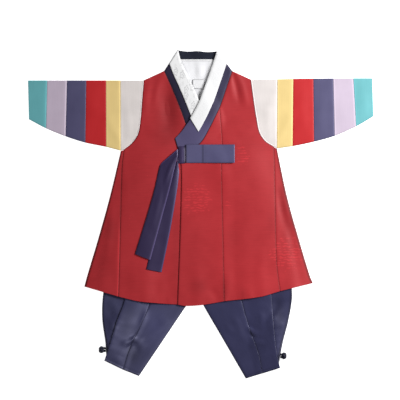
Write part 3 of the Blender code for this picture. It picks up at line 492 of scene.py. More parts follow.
def seam(*runs):
    """A seam line of one or more runs, as a function of the row. A run is its points and its rows."""
    starts = np.cumsum([0.0] + [rows for _, rows in runs])

    def at(rows):
        found = np.empty((len(rows), 2))
        for (points, span), start in zip(runs, starts):
            here = (rows >= start - 1e-6) & (rows <= start + span + 1e-6)
            found[here] = curve(points, (rows[here] - start) / span)
        return found

    return at


def length_of(line, total):
    """Length of a seam line over its rows."""
    return np.linalg.norm(np.diff(line(np.linspace(0.0, total, 60)), axis=0), axis=1).sum()


def stations(*runs, keep=(), cell=None):
    """Rows at which cross lines lie. A run is its rows, its plan points and the distances of the close
    lines beside its start and its end, where there is a seam or a hem."""
    cell = cell or cloth().cell / MM
    found, begun = [], 0.0
    for rows, points, first, last in runs:
        length = length_of(seam((points, rows)), rows)
        start, end = (np.array([0.0, *[x for x in near if x < length / 3]]) for near in (first, last))
        inner = length - start[-1] - end[-1]
        middle = start[-1] + np.linspace(0.0, inner, max(2, round(inner / cell) + 1))
        at = np.unique(np.round(np.concatenate((start, middle, length - end)), 4))
        found.append(begun + at / at[-1] * rows)
        begun += rows
    return np.unique(np.round(np.concatenate((*found, np.array(keep, dtype=float))), 6))


def panel(left, right, top, bottom, rows, columns):
    """Fills the plan between four seam lines; row 0 is the top and column 0 the left line."""
    v = (rows / rows[-1])[:, None, None]
    u = (columns / columns[-1])[None, :, None]
    left, right, top, bottom = left(rows), right(rows), top(columns), bottom(columns)
    sides = (1 - u) * left[:, None] + u * right[:, None]
    ends = (1 - v) * top[None] + v * bottom[None]
    corners = (
        (1 - u) * (1 - v) * left[0] + u * (1 - v) * right[0] + (1 - u) * v * left[-1] + u * v * right[-1]
    )
    return sides + ends - corners


def between(left, right, rows, columns):
    """Panel between two seam lines whose ends are joined by straight lines."""
    u = (columns / columns[-1])[None, :, None]
    return (1 - u) * left(rows)[:, None] + u * right(rows)[:, None]


def rectangle(left, right, bottom, top, steps, first=SEAM_LINES, last=SEAM_LINES, cells=(None, None)):
    """A straight panel with close lines along its top and bottom, and beside its left and right."""
    rows = stations((steps[0], ((left, top), (left, bottom)), SEAM_LINES, SEAM_LINES), cell=cells[0])
    columns = stations((steps[1], ((left, bottom), (right, bottom)), first, last), cell=cells[1])
    sides = [seam((((x, top), (x, bottom)), steps[0])) for x in (left, right)]
    return between(*sides, rows, columns)


def outline(grid):
    """The closed plan outline of a grid."""
    xy = grid[..., :2]
    return np.concatenate((xy[0, :-1], xy[:-1, -1], xy[-1, :0:-1], xy[:0:-1, 0]))


def edge_distance(grid, side):
    """Distance of a grid's points from one of its sides, along the cross lines."""
    xy = grid[..., :2]
    axis = 1 if side in "lr" else 0
    steps = np.linalg.norm(np.diff(xy, axis=axis), axis=2)
    start = np.zeros_like(np.take(steps, [0], axis=axis))
    run = np.concatenate((start, np.cumsum(steps, axis=axis)), axis=axis)
    if side in "rb":
        run = np.take(run, [-1], axis=axis) - run
    return run


# Heights


def distance_to(points, loop):
    """Plan distance from points to an outline, zero inside it."""
    start, end = loop, np.roll(loop, -1, axis=0)
    edge = end - start
    to_point = points[:, None] - start[None]
    along = np.sum(to_point * edge, axis=2) / np.maximum(np.sum(edge * edge, axis=1), 1e-9)
    nearest = to_point - limited(along)[..., None] * edge
    distance = np.linalg.norm(nearest, axis=2).min(axis=1)
    x, y = points[:, 0:1], points[:, 1:2]
    spans = (start[:, 1] > y) != (end[:, 1] > y)
    rise = np.where(edge[:, 1] == 0.0, 1e-9, edge[:, 1])
    crossing = start[:, 0] + (y - start[:, 1]) / rise * edge[:, 0]
    inside = np.sum(spans & (x < crossing), axis=1) % 2 == 1
    return np.where(inside, 0.0, distance)


def fall(distance):
    """How far cloth comes down at a distance beyond the edge of what it lies on."""
    beyond = distance - EDGE_MARGIN
    rounded = np.clip(beyond + EDGE_ROUNDING, 0.0, 2 * EDGE_ROUNDING) ** 2 / (4 * EDGE_ROUNDING)
    return DRAPE_SLOPE * np.where(beyond > EDGE_ROUNDING, beyond, rounded)


def hem_waves(points):
    """Height of the soft waves that run up from the coat's hem."""
    x, y = points[:, 0], points[:, 1]
    up = y - HEM_LEVEL
    total = np.zeros(len(points))
    for hem, lean, reach, height, width in HEM_WAVES:
        fade = limited(1.0 - up / reach) ** 1.5
        total += height * fade * bell(x - hem - lean * up, width)
    return total


def creases(points, table):
    """Height of the listed creases at plan points."""
    total = np.zeros(len(points))
    for *line, height, width, start, end in table:
        path = curve(line, np.linspace(0.0, 1.0, 13))
        edge = path[1:] - path[:-1]
        to_point = points[:, None] - path[None, :-1]
        along = limited(np.sum(to_point * edge, axis=2) / np.sum(edge * edge, axis=1))
        distance = np.linalg.norm(to_point - along[..., None] * edge, axis=2)
        nearest = distance.argmin(axis=1)
        share = (nearest + along[np.arange(len(points)), nearest]) / len(edge)
        base = start * (1 - share) + end * share
        strength = base + (1 - base) * np.sin(math.pi * share)
        total += height * strength * bell(distance.min(axis=1), width)
    return total * cloth().fold_depth


def ripple(points, size, depth, seed):
    """Slight unevenness of pressed cloth: soft hills of a size, in millimetres."""
    return depth * np.array([noise.noise(Vector((x / size, y / size, seed))) for x, y in points])


def heights(name, points, known=None):
    """Height of a sheet's middle surface over plan points."""
    known = {} if known is None else known
    if name in known:
        return known[name]
    sheet = sheets[name]
    if "map" in sheet:
        z = read_map(sheet["map"], points)
    else:
        z = np.full(len(points), WALL / 2)
        if sheet["ground"]:
            z = heights(sheet["ground"], points, known)
        for under in sheet["rests_on"]:
            lower = heights(under, points, known) + LAYER
            z = np.maximum(z, lower - fall(distance_to(points, sheets[under]["outline"])))
    known[name] = z + creases(points, sheet["creases"])
    return known[name]


def lay(name, grid, rests_on=(), ground=None, table=()):
    """Registers a sheet by its plan grid and returns the grid with heights."""
    sheets[name] = {"outline": outline(grid), "rests_on": rests_on, "ground": ground, "creases": table}
    z = heights(name, grid.reshape(-1, 2)).reshape(grid.shape[:2])
    return np.dstack((grid, z))


def read_map(height_map, points):
    """Height map value at plan points, blended between its cells."""
    low, cells = height_map
    at = np.clip((points - low) / DRAPE_CELL, 0.0, np.array(cells.shape) - 1.001)
    cell = at.astype(int)
    fx, fy = (at - cell).T
    x, y = cell.T
    near = cells[x, y] * (1 - fx) + cells[x + 1, y] * fx
    far = cells[x, y + 1] * (1 - fx) + cells[x + 1, y + 1] * fx
    return near * (1 - fy) + far * fy


def drape_over(name, rests_on, low, high):
    """A smooth height map over everything inside the coat, with the waves of its hem."""
    x = np.arange(low[0], high[0], DRAPE_CELL)
    y = np.arange(low[1], high[1], DRAPE_CELL)
    points = np.stack(np.meshgrid(x, y, indexing="ij"), axis=2).reshape(-1, 2)
    sheets[name] = {"rests_on": rests_on, "ground": None, "creases": ()}
    cells = heights(name, points).reshape(len(x), len(y))
    for _ in range(DRAPE_SPREADS):
        padded = np.pad(cells, 1, mode="edge")
        cells = np.max([padded[i:i + len(x), j:j + len(y)] for i in range(3) for j in range(3)], axis=0)
    for _ in range(DRAPE_BLURS):
        padded = np.pad(cells, 1, mode="edge")
        beside = padded[:-2, 1:-1] + padded[2:, 1:-1] + padded[1:-1, :-2] + padded[1:-1, 2:]
        cells = (4 * cells + beside) / 8
    cells += DRAPE_CLEAR + hem_waves(points).reshape(cells.shape)
    sheets[name]["map"] = (np.array(low), cells)
    sheets[name]["creases"] = COAT_CREASES


def ease_back(strip, column, shift):
    """Draws a strip's edge back for a fold, and eases the cloth beside it; shift is per row."""
    side = "r" if column == -1 else "l"
    away = edge_distance(strip, side)
    outward = unit(strip[:, column, :2] - strip[:, -2 if column == -1 else 1, :2])
    reach = np.minimum(FOLD_EASE, away.max(axis=1))[:, None]
    back = shift[:, None] * limited(1.0 - away / reach)
    eased = strip.copy()
    eased[..., :2] -= outward[:, None] * back[..., None]
    return eased, outward


def fold_together(strips):
    """Joins strips that meet at fold edges into one grid, with a round fold between each two."""
    parts = [strip.copy() for strip in strips]
    joined = []
    for index in range(len(parts) - 1):
        first, second = parts[index], parts[index + 1]
        radius = (first[:, -1, 2] - second[:, 0, 2]) / 2
        middle = (first[:, -1, 2] + second[:, 0, 2]) / 2
        shift = np.abs(radius) + WALL / 2
        first, outward = ease_back(first, -1, shift)
        second = ease_back(second, 0, shift)[0]
        centre = first[:, -1, :2]
        second[:, 0, :2] = centre
        arc = []
        for step in range(1, FOLD_STEPS):
            turn = math.pi * (0.5 - step / FOLD_STEPS)
            reach = centre + outward * (np.abs(radius) * math.cos(turn))[:, None]
            arc.append(np.column_stack((reach, middle + radius * math.sin(turn)))[:, None])
        joined.append(first)
        joined.extend(arc)
        parts[index + 1] = second
    joined.append(parts[-1])
    return np.concatenate(joined, axis=1)


def groove(grid, sides, depth=None, width=1.6):
    """Sinks a sewn edge a little, as the stitches draw it down."""
    sunk = grid.copy()
    depth = cloth().seam_depth / MM if depth is None else depth
    for side in sides:
        sunk[..., 2] -= depth * bell(edge_distance(grid, side), width)
    return sunk


def shade_of(grid, sides, width=1.5):
    """How near each point is to a sewn or rolled edge, from 0 to 1; the finishes paint shade there."""
    near = np.zeros(grid.shape[:2])
    for side in sides:
        near = np.maximum(near, bell(edge_distance(grid, side), width))
    return near


# Meshes


def cloth():
    """The sizes that a user may change."""
    return bpy.context.scene.hanbok_cloth


def colours():
    """The colours that a user may change."""
    return bpy.context.scene.hanbok_colours


def cut_of(grid):
    """Width, length and area of the flat cut of a grid, in metres."""
    across = np.linalg.norm(np.diff(grid, axis=1), axis=2).sum(axis=1).max()
    along = np.linalg.norm(np.diff(grid, axis=0), axis=2).sum(axis=0).max()
    slant, counter = grid[1:, 1:] - grid[:-1, :-1], grid[1:, :-1] - grid[:-1, 1:]
    area = np.linalg.norm(np.cross(slant, counter), axis=2).sum() / 2
    return (across * MM, along * MM), min(area, across * along) * MM * MM


def run_of(grid):
    """Thread coordinates in metres: across the cut and along it, measured on the cloth."""
    across = np.zeros(grid.shape[:2])
    along = np.zeros(grid.shape[:2])
    across[:, 1:] = np.cumsum(np.linalg.norm(np.diff(grid, axis=1), axis=2), axis=1)
    along[1:] = np.cumsum(np.linalg.norm(np.diff(grid, axis=0), axis=2), axis=0)
    return np.stack((across - across.mean(axis=1, keepdims=True), along), axis=2) * MM


def spots(points, table):
    """How far plan points lie from the listed spots, in half sizes, with the strength of each spot."""
    for x, y, wide, high, strength in table:
        yield np.hypot((points[:, 0] - x) / wide, (points[:, 1] - y) / high), strength


def figured(points):
    """Strength of the damask's figure at plan points: full well inside a cluster, none outside it."""
    total = np.zeros(len(points))
    for away, strength in spots(points, FIGURES):
        total = np.maximum(total, strength * limited(FIGURE_EDGE - away))
    return total


def painted_spots(points, silk):
    """Painted shade and painted highlights (below zero) of the coat and the trousers at plan points."""
    total = np.zeros(len(points))
    for away, strength in spots(points, PAINTED_SPOTS.get(silk.name, ())):
        total += strength * np.exp(-(away ** 2) / PAINTED_SPOT_SPREAD)
    return total


def add_mesh(name, points, faces, threads, near, silk):
    """Links a mesh with its thread coordinates and its painted light and shade: painted shade above zero, a
    painted highlight below zero.
    """
    # spots of painted shade and painted highlight join the painted shade of the seams and folds
    near = np.minimum(near.ravel() + painted_spots(points, silk), 1.0)
    mesh = bpy.data.meshes.new(name)
    mesh.from_pydata((points * MM).tolist(), [], faces.tolist())
    layer = mesh.uv_layers.new(name="threads")
    layer.data.foreach_set("uv", threads[faces.ravel()].astype(np.float32).ravel())
    # the first attribute holds painted shade at seams, rolled edges, folds and spots, and painted
    # highlights below zero
    for key, values in (("near_seam", near), ("figure", figured(points))):
        mark = mesh.attributes.new(key, "FLOAT", "POINT")
        mark.data.foreach_set("value", values.astype(np.float32).ravel())
    mesh.shade_smooth()
    mesh.materials.append(silk)
    obj = bpy.data.objects.new(name, mesh)
    bpy.context.scene.collection.objects.link(obj)
    return obj


def quads_of(rows, columns, closed=False):
    """Faces of a grid; a closed one joins its last column to its first."""
    index = np.arange(rows * columns).reshape(rows, columns)
    if closed:
        index = np.hstack((index, index[:, :1]))
    corners = (index[:-1, :-1], index[1:, :-1], index[1:, 1:], index[:-1, 1:])
    return np.stack(corners, axis=-1).reshape(-1, 4)


def add_shell(name, grid, threads, near, silk, slot):
    """A thin sheet on a grid, in the place of the solid of its name."""
    points, faces = grid.reshape(-1, 3), quads_of(*grid.shape[:2])
    obj = add_mesh(name + "_cloth", points, faces, threads.reshape(-1, 2), near, silk)
    shell = obj.modifiers.new("thickness", "SOLIDIFY")
    shell.thickness, shell.offset = cloth().thickness, 0.0
    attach(obj, BODY)
    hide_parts(name)
    return obj


def add_cloth(name, grid, silk, slot, near=None, held="laid", rests_on=(), plan_threads=True,
              with_pieces=(), grain=0.0):
    """A cloth piece; the sizes of its cut are worked out but not kept. grain turns its threads, in degrees.
    """
    turn = math.radians(grain)
    axes = np.array(((math.cos(turn), -math.sin(turn)), (math.sin(turn), math.cos(turn))))
    threads = grid[..., :2] @ axes * MM if plan_threads else run_of(grid)
    near = np.zeros(grid.shape[:2]) if near is None else near
    obj = add_shell(name, grid, threads, near, silk, slot)
    flat, area = cut_of(grid)
    list(rests_on)
    list(with_pieces)
    return obj


def add_strand(name, path, radii, silk, slot, out):
    """A strand along a path in space; its two radii lie beside the path and towards out."""
    ahead = unit(np.gradient(path, axis=0))
    beside = unit(np.cross(ahead, out))
    up = np.cross(beside, ahead)
    turn = np.linspace(0.0, 2 * math.pi, STRAND_SIDES, endpoint=False)[:, None]
    ring = beside[:, None] * np.cos(turn) * radii[0] + up[:, None] * np.sin(turn) * radii[1]
    return add_trim(name, path[:, None] + ring, silk, slot)


def add_trim(name, rings, silk, slot):
    """A closed form of rings, such as a cord or a ball."""
    points = rings.reshape(-1, 3)
    faces = quads_of(*rings.shape[:2], closed=True)
    obj = add_mesh(name, points, faces, points[:, :2] * MM, np.zeros(len(points)), silk)
    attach(obj, BODY)
    return obj


# Finishes


def put(tree, kind, inputs, **settings):
    """Adds a shader node with its settings and gives its outputs; an input is a value or an output."""
    node = tree.nodes.new("ShaderNode" + kind)
    for key, value in settings.items():
        setattr(node, key, value)
    for key, value in inputs.items() if isinstance(inputs, dict) else enumerate(inputs):
        if isinstance(value, bpy.types.NodeSocket):
            tree.links.new(value, node.inputs[key])
        else:
            node.inputs[key].default_value = value
    return node.outputs


def blossoms(tree, threads, cell, petal, seed):
    """Outlined five-petal flowers scattered over the cloth; cell and petal are in metres."""
    size = petal / cell
    spread = put(tree, "VectorMath", (threads, (seed, seed, 0.0)), operation="ADD")[0]
    scaled = put(tree, "VectorMath", {0: spread, "Scale": 1 / cell}, operation="SCALE")[0]
    cells = {"Vector": scaled, "Scale": 1.0, "Randomness": 0.75}
    flower = put(tree, "TexVoronoi", cells, voronoi_dimensions="2D")
    away = put(tree, "VectorMath", (scaled, flower["Position"]), operation="SUBTRACT")[0]
    parts = put(tree, "SeparateXYZ", (away,))
    angle = put(tree, "Math", (parts["Y"], parts["X"]), operation="ARCTAN2")[0]
    five = put(tree, "Math", (angle, 5.0), operation="MULTIPLY")[0]
    lobes = put(tree, "Math", (five,), operation="COSINE")[0]
    edge = put(tree, "Math", (lobes, 0.22 * size, size), operation="MULTIPLY_ADD")[0]
    off = put(tree, "Math", (flower["Distance"], edge), operation="SUBTRACT")[0]
    line = put(tree, "Math", (off,), operation="ABSOLUTE")[0]
    found = []
    for value, start, end in ((line, 0.0, 0.30 * size), (flower["Distance"], 0.18 * size, 0.34 * size)):
        fading = {"Value": value, "From Min": start, "From Max": end, "To Min": 1.0, "To Max": 0.0}
        found.append(put(tree, "MapRange", fading)[0])
    return put(tree, "Math", found, operation="MAXIMUM")[0]


def clouds(tree, threads, seed):
    """Rows of short wavy lines, as a cloud motif is woven, where the figure attribute allows them."""
    moved = put(tree, "VectorMath", (threads, (seed, 0.4 * seed, 0.0)), operation="ADD")[0]
    mask = put(tree, "Attribute", (), attribute_name="figure")["Fac"]
    ragged = put(tree, "TexNoise", {"Vector": moved, "Scale": 1 / CLOUD_BREAK, "Detail": 1.0})["Fac"]
    inside = put(tree, "Math", (ragged, 1.6, -1.25), operation="MULTIPLY_ADD")[0]
    inside = put(tree, "Math", (inside, mask), operation="ADD")[0]
    patch = put(tree, "MapRange", {"Value": inside, "From Min": 0.35, "From Max": 0.60})[0]
    waves = {
        "Vector": moved, "Scale": WAVE_PERIOD / CLOUD_ROWS, "Distortion": 4.6, "Detail": 1.0,
        "Detail Scale": 1.8,
    }
    lines = put(tree, "TexWave", waves, bands_direction="Y")["Fac"]
    ridge = put(tree, "MapRange", {"Value": lines, "From Min": 0.45, "From Max": 0.75})[0]
    return put(tree, "Math", (patch, ridge), operation="MULTIPLY")[0]


def weave(name, colour, grain=(0.03, 0.0022), uneven=0.10, mottle=0.10, dark=0.35, rough=0.5, gloss=0.3,
          tinted=0.0, floats=0.0, turn=0.0, motif=None, motif_tone=0.0):
    """A silk cloth. grain is the length and the spacing of its thread lines in metres; uneven and mottle
    say how much the threads and large patches change its tone; dark is how strongly the mesh's painted
    shade darkens it and its painted highlights lighten it."""
    found = bpy.data.materials.get(name)
    if found:
        return found
    made = bpy.data.materials.new(name)
    made.use_nodes = True
    tree = made.node_tree
    shader = tree.nodes["Principled BSDF"].inputs
    threads = put(tree, "UVMap", (), uv_map="threads")["UV"]
    scale = (1 / grain[0], 1 / grain[1], 1.0)
    stretched = put(tree, "Mapping", {"Vector": threads, "Scale": scale})[0]
    lines = {"Vector": stretched, "Scale": 1.0, "Detail": 3.0, "Roughness": 0.6}
    slub = put(tree, "TexNoise", lines)["Fac"]
    patchy = put(tree, "TexNoise", {"Vector": threads, "Scale": 26.0, "Detail": 2.0})["Fac"]
    # the painted shade from the mesh's attribute darkens the colour, and its painted highlights lighten it
    edge = put(tree, "Attribute", (), attribute_name="near_seam")["Fac"]
    tone = put(tree, "Math", (slub, 2 * uneven, 1.0 - uneven - mottle), operation="MULTIPLY_ADD")[0]
    height = slub
    rows = [(patchy, 2 * mottle), (edge, -dark)]
    if motif:
        figure = motif(tree, threads)
        rows.append((figure, motif_tone))
        height = put(tree, "Math", (figure, 0.8, slub), operation="MULTIPLY_ADD")[0]
    for source, share in rows:
        tone = put(tree, "Math", (source, share, tone), operation="MULTIPLY_ADD")[0]
    dyed = put(tree, "VectorMath", {0: tuple(colour), "Scale": tone}, operation="SCALE")[0]
    roughness = put(tree, "Math", (patchy, 0.16, rough - 0.08), operation="MULTIPLY_ADD")[0]
    bump = {"Strength": THREAD_BUMP, "Distance": THREAD_RELIEF, "Height": height}
    raised = put(tree, "Bump", bump)["Normal"]
    for key, value in (("Base Color", dyed), ("Roughness", roughness), ("Normal", raised)):
        tree.links.new(value, shader[key])
    tint = [tinted * part / max(colour) + 1.0 - tinted for part in colour]
    values = {"IOR": SILK_IOR, "Specular IOR Level": gloss, "Specular Tint": (*tint, 1.0)}
    if floats:
        values.update({"Anisotropic": floats, "Anisotropic Rotation": turn})
        along = put(tree, "Tangent", (), direction_type="UV_MAP", uv_map="threads")[0]
        tree.links.new(along, shader["Tangent"])
    for key, value in values.items():
        shader[key].default_value = value
    return made


def damask_figure(tree, threads):
    """The coat's tone-on-tone figure: clusters of cloud lines."""
    return clouds(tree, threads, 0.31)


def edging_figure(tree, threads):
    """The white edging's silver-grey blossoms, in two sizes."""
    large, small = (blossoms(tree, threads, *kind) for kind in BLOSSOMS)
    half = put(tree, "Math", (small, 0.7), operation="MULTIPLY")[0]
    return put(tree, "Math", (large, half), operation="MAXIMUM")[0]


def finish(key):
    """The finish of one kind of cloth, and the material slot of the record that it belongs to."""
    name, slot, colour, facts = FINISHES[key]
    return weave(name, getattr(colours(), colour), **facts), slot


PLAIN_SILK = {"grain": (0.0024, 0.05), "mottle": 0.08, "rough": 0.45, "gloss": 0.8, "tinted": 0.5}

# name, record slot, colour property and weave of each cloth
FINISHES = {
    # jacquard-woven silk: a soft ground with a lighter figure and long horizontal slubs
    "coat": ("silk_damask_red", "silk_red", "coat_red", {
        "grain": (0.030, 0.0021), "uneven": 0.13, "rough": 0.46, "gloss": 0.8, "tinted": 0.6, "dark": 0.80,
        "motif": damask_figure, "motif_tone": 0.31,
    }),
    # plain-woven silk of the stripes: fine upright threads, soft gloss
    "teal": ("silk_plain_teal", "silk_teal", "teal", {"uneven": 0.06, **PLAIN_SILK}),
    "lilac": ("silk_plain_lilac", "silk_lilac", "lilac", {"uneven": 0.05, **PLAIN_SILK}),
    "navy": ("silk_plain_navy", "silk_navy", "stripe_navy", {"uneven": 0.08, **PLAIN_SILK}),
    "red": ("silk_plain_red", "silk_red", "stripe_red", {"uneven": 0.06, **PLAIN_SILK}),
    "yellow": ("silk_plain_yellow", "silk_yellow", "yellow", {"uneven": 0.06, **PLAIN_SILK}),
    "white": ("silk_plain_white", "silk_white", "white", {"uneven": 0.05, **PLAIN_SILK, "mottle": 0.11}),
    # cord in a bias strip: nearly even, so that it reads as one pale line
    "piping": ("silk_cord_white", "silk_white", "piping", {"grain": (0.004, 0.004), "uneven": 0.04}),
    # warp-faced satin: long floats give a broad gloss that turns with every fold
    "trousers": ("silk_satin_navy", "silk_navy", "trouser_navy", {
        "grain": (0.0022, 0.02), "uneven": 0.14, "mottle": 0.16, "rough": 0.50, "gloss": 1.0, "dark": 0.80,
        "tinted": 0.5, "floats": 0.6, "turn": 0.25,
    }),
    # the same satin on a stiff interlining: duller, with threads along the band
    "collar": ("silk_satin_collar_navy", "silk_navy", "collar_navy", {
        "grain": (0.012, 0.0022), "uneven": 0.12, "mottle": 0.12, "rough": 0.50, "gloss": 0.4, "dark": 0.7,
        "tinted": 0.5, "floats": 0.4, "turn": 0.25,
    }),
    # its inner side at the nape, given a darker navy as painted shade, for it lies in shade
    "nape": ("silk_satin_nape_navy", "silk_navy", "nape_navy", {"uneven": 0.2, "mottle": 0.2}),
    # ribbon of the bow: even and softly glossy; its tails are cut with the grain, and the loop's lighter
    # navy and
    # # the tails' darker navy are painted light and painted shade on the one satin
    "tie": ("silk_satin_tie_navy", "silk_navy", "tie_navy", {
        "grain": (0.02, 0.0022), "uneven": 0.08, "mottle": 0.10, "rough": 0.48, "gloss": 0.8, "dark": 0.7,
        "tinted": 0.3,
    }),
    "tail": ("silk_satin_tail_navy", "silk_navy", "tail_navy", {
        "grain": (0.0022, 0.02), "uneven": 0.10, "mottle": 0.12, "rough": 0.42, "gloss": 0.7, "dark": 0.6,
        "tinted": 0.4,
    }),
    # twisted cord of the buttons: dull, with short threads that break up its tone
    "knot": ("silk_cord_navy", "silk_navy", "knot_navy", {
        "grain": (0.0015, 0.0015), "uneven": 0.2, "rough": 0.55, "gloss": 0.35,
    }),
    # brocaded white silk of the edging: a smooth ground with silver-grey flowers
    "edging": ("silk_brocade_white", "collar_white", "edging_white", {
        "grain": (0.002, 0.02), "uneven": 0.02, "mottle": 0.03, "motif": edging_figure, "motif_tone": -0.36,
        "rough": 0.55, "dark": 0.2,
    }),
    # the same brocade for the lit side, its figure painted faint as a painted sheen, where the gloss of the
    # ground all but hides the figure
    "edging_lit": ("silk_brocade_white_lit", "collar_white", "edging_white", {
        "grain": (0.002, 0.02), "uneven": 0.02, "mottle": 0.02, "motif": edging_figure, "motif_tone": -0.05,
        "rough": 0.55, "dark": 0.2,
    }),
    # plain white edge inside the nape
    "strip": ("silk_plain_edge_white", "collar_white", "edging_white", {"uneven": 0.02, "mottle": 0.02}),
    # pressed polyester lining: no thread lines, soft creases in grey
    "lining": ("lining_pressed_white", "lining_white", "lining_white", {
        "grain": (0.003, 0.003), "uneven": 0.03, "mottle": 0.10, "rough": 0.6, "dark": 0.25,
    }),
    # woven label: fine cross lines and a dark sewn edge
    "label": ("label_woven_blank", "lining_white", "label_white", {
        "grain": (0.01, 0.001), "uneven": 0.02, "mottle": 0.02, "rough": 0.6, "dark": 0.6,
    }),
}


# Pieces


def pressed(grid, up=True, size=46.0, depth=0.25, seed=1.0):
    """Adds the slight unevenness of cloth that was pressed and laid down."""
    soft = grid.copy()
    hills = ripple(grid[..., :2].reshape(-1, 2), size, depth, seed).reshape(grid.shape[:2])
    soft[..., 2] += hills if up else np.abs(hills)
    return soft


def sleeve_bands(side, table, armhole):
    """Six bands from cuff to armhole, each folded at the top and seamed along the bottom."""
    low_x, low_y = curve([low for _, low in table], np.linspace(0.0, 1.0, 200)).T
    order = np.argsort(low_x)
    for index, colour in enumerate(SLEEVE_COLOURS):
        last = index + 1 == len(table)
        left = seam((table[index], ARMHOLE_ROWS))
        right = seam((armhole if last else table[index + 1], ARMHOLE_ROWS))
        ends = np.array([0.0, float(ARMHOLE_ROWS)])
        corners = list(zip(left(ends), right(ends)))
        top, straight_low = (seam((pair, 1)) for pair in corners)

        def bottom(columns):
            points = straight_low(columns)
            if not last:
                points[1:-1, 1] = np.interp(points[1:-1, 0], low_x[order], low_y[order])
            return points

        rows = stations((ARMHOLE_ROWS, armhole if last else table[index], (), SEAM_LINES))
        columns = stations((1, corners[0], HEM_LINES if index == 0 else SEAM_LINES, SEAM_LINES))
        plan = panel(left, right, top, bottom, rows, columns)
        name = f"sleeve_{side}_{index + 1}_{colour}"
        sewn = "rb" if index == 0 else "lrb"
        back = lay(name + "_back", plan, table=SLEEVE_CREASES)
        front = lay(name + "_front", plan, (name + "_back",))
        back = pressed(groove(back, sewn, DRAWN_UP), up=False, seed=4.0)
        # painted shade along the seams and the fold's edge, and painted highlight lines beside the seams
        near = 0.6 * shade_of(front, sewn, 0.9) + shade_of(front, "b", 1.2)
        for edge, strength in zip("lr", SLEEVE_LINES[colour]):
            near -= strength * bell(edge_distance(front, edge) - SLEEVE_LINE_AT, SLEEVE_LINE_WIDTH)
        front = pressed(groove(front, sewn), seed=2.0)
        joined = fold_together((front[::-1].transpose(1, 0, 2), back.transpose(1, 0, 2)))
        # painted shade inside the fold between the two faces
        shade = np.full(joined.shape[:2], SLEEVE_FOLD_SHADE)
        count = front.shape[0]
        shade[:, :count] = near[::-1].T
        shade[:, -count:] = near.T
        add_cloth(name, joined, *finish(colour), near=shade, held="folded")


def piping(side, armhole, inward):
    """The fine pale piping that is sewn into the armhole, on the sleeve's side."""
    path = curve(armhole, np.linspace(0.0, 1.0, 70))
    ahead = unit(np.gradient(path, axis=0))
    plan = path + np.stack((ahead[:, 1], -ahead[:, 0]), axis=1) * inward * PIPING_OFFSET
    z = heights(f"sleeve_{side}_6_white_front", plan) + PIPING_RISE
    path = np.column_stack((plan, z))
    add_strand("armhole_piping_" + side, path, PIPING_RADII, *finish("piping"), out=(0.0, 0.0, 1.0))


def coat_backs():
    """Two back panels, flat on the surface, joined at the centre back."""
    sides = (("r", NECK_R, TIP_R, ARMHOLE_R, GORE_SEAM_R), ("l", NECK_L, TIP_L, ARMHOLE_L, GORE_SEAM_L))
    low = (HEM_CENTRE[0], HEM_CENTRE[1] + BACK_HEM_LIFT)
    for side, neck, tip, armhole, (*gore, (x, y)) in sides:
        gore = (*gore, (x, y + BACK_HEM_LIFT))
        edge = seam((armhole, ARMHOLE_ROWS), (gore, SKIRT_ROWS))
        rows = stations((ARMHOLE_ROWS, armhole, SEAM_LINES, ()), (SKIRT_ROWS, gore, (), HEM_LINES))
        columns = stations((2, (tip, neck), SEAM_LINES, ()), (2, (neck, NAPE), (), SEAM_LINES))
        neckline = seam(((tip, neck), 2), ((neck, NAPE), 2))
        hem, centre = seam(((gore[-1], low), 4)), seam(((NAPE, low), COAT_ROWS))
        name = "coat_back_" + side
        grid = lay(name, panel(edge, centre, neckline, hem, rows, columns), table=BACK_CREASES)
        # painted shade along the sewn edges
        near = shade_of(grid, "lr")
        grid = pressed(groove(grid, "lr", DRAWN_UP), up=False, seed=3.0)
        add_cloth(name, grid, *finish("coat"), near=near)


def gore_plan(side_line, seam_line):
    """Plan of a gore between its seam and the coat's side edge, with a slanting top."""
    rows = stations((SKIRT_ROWS, seam_line, SEAM_LINES, HEM_LINES))
    columns = stations((3, (seam_line[-1], side_line[-1]), SEAM_LINES, ()))
    left, right = seam((seam_line, SKIRT_ROWS)), seam((side_line, SKIRT_ROWS))
    plan = between(left, right, rows, columns)
    drop = GORE_TOP_SHARE * (between(left, right, np.array([0.0, 1.0]), columns)[1] - plan[0])
    return plan + drop[None] * limited(1.0 - rows)[:, None, None]


def gore_backs():
    """The back halves of the gores, which lie on the surface."""
    for side, side_line, seam_line in GORES:
        plan = gore_plan(side_line, seam_line)
        plan[-1, :, 1] += BACK_HEM_LIFT
        lay("gore_back_" + side, plan)
        sheets["gore_back_" + side]["plan"] = plan


def gores():
    """A side gore on each side, folded round the coat's side edge."""
    for side, side_line, seam_line in GORES:
        front = lay("gore_front_" + side, gore_plan(side_line, seam_line), (), "coat_ground")
        back = sheets["gore_back_" + side]["plan"]
        flat = np.dstack((back, np.full(back.shape[:2], WALL / 2)))
        flat = pressed(groove(flat, "l", DRAWN_UP), up=False, seed=5.0)
        # painted highlight beside the gore's seam, growing towards the hem, and painted shade on the seam
        ridge = bell(edge_distance(front, "l") - GORE_HIGHLIGHT_AT, GORE_HIGHLIGHT_WIDTH)
        low = limited(-front[..., 1] / GORE_HIGHLIGHT_FADE)
        near = SEAM_SHADE * shade_of(front, "l") - GORE_HIGHLIGHT[side] * low * ridge
        front = pressed(groove(front, "l"), seed=6.0)
        joined = fold_together((front, flat[:, ::-1]))
        # painted shade inside the fold, and along the gore's folded side edge
        shade = np.full(joined.shape[:2], GORE_FOLD_SHADE)
        edge = shade_of(front, "r", EDGE_WIDTH)
        shade[:, :near.shape[1]] = np.where(edge > 0.05, np.maximum(near, edge), near)
        shade[:, -flat.shape[1]:] = shade_of(flat, "l")[:, ::-1]
        add_cloth("coat_gore_" + side, joined, *finish("coat"), near=shade, held="folded")


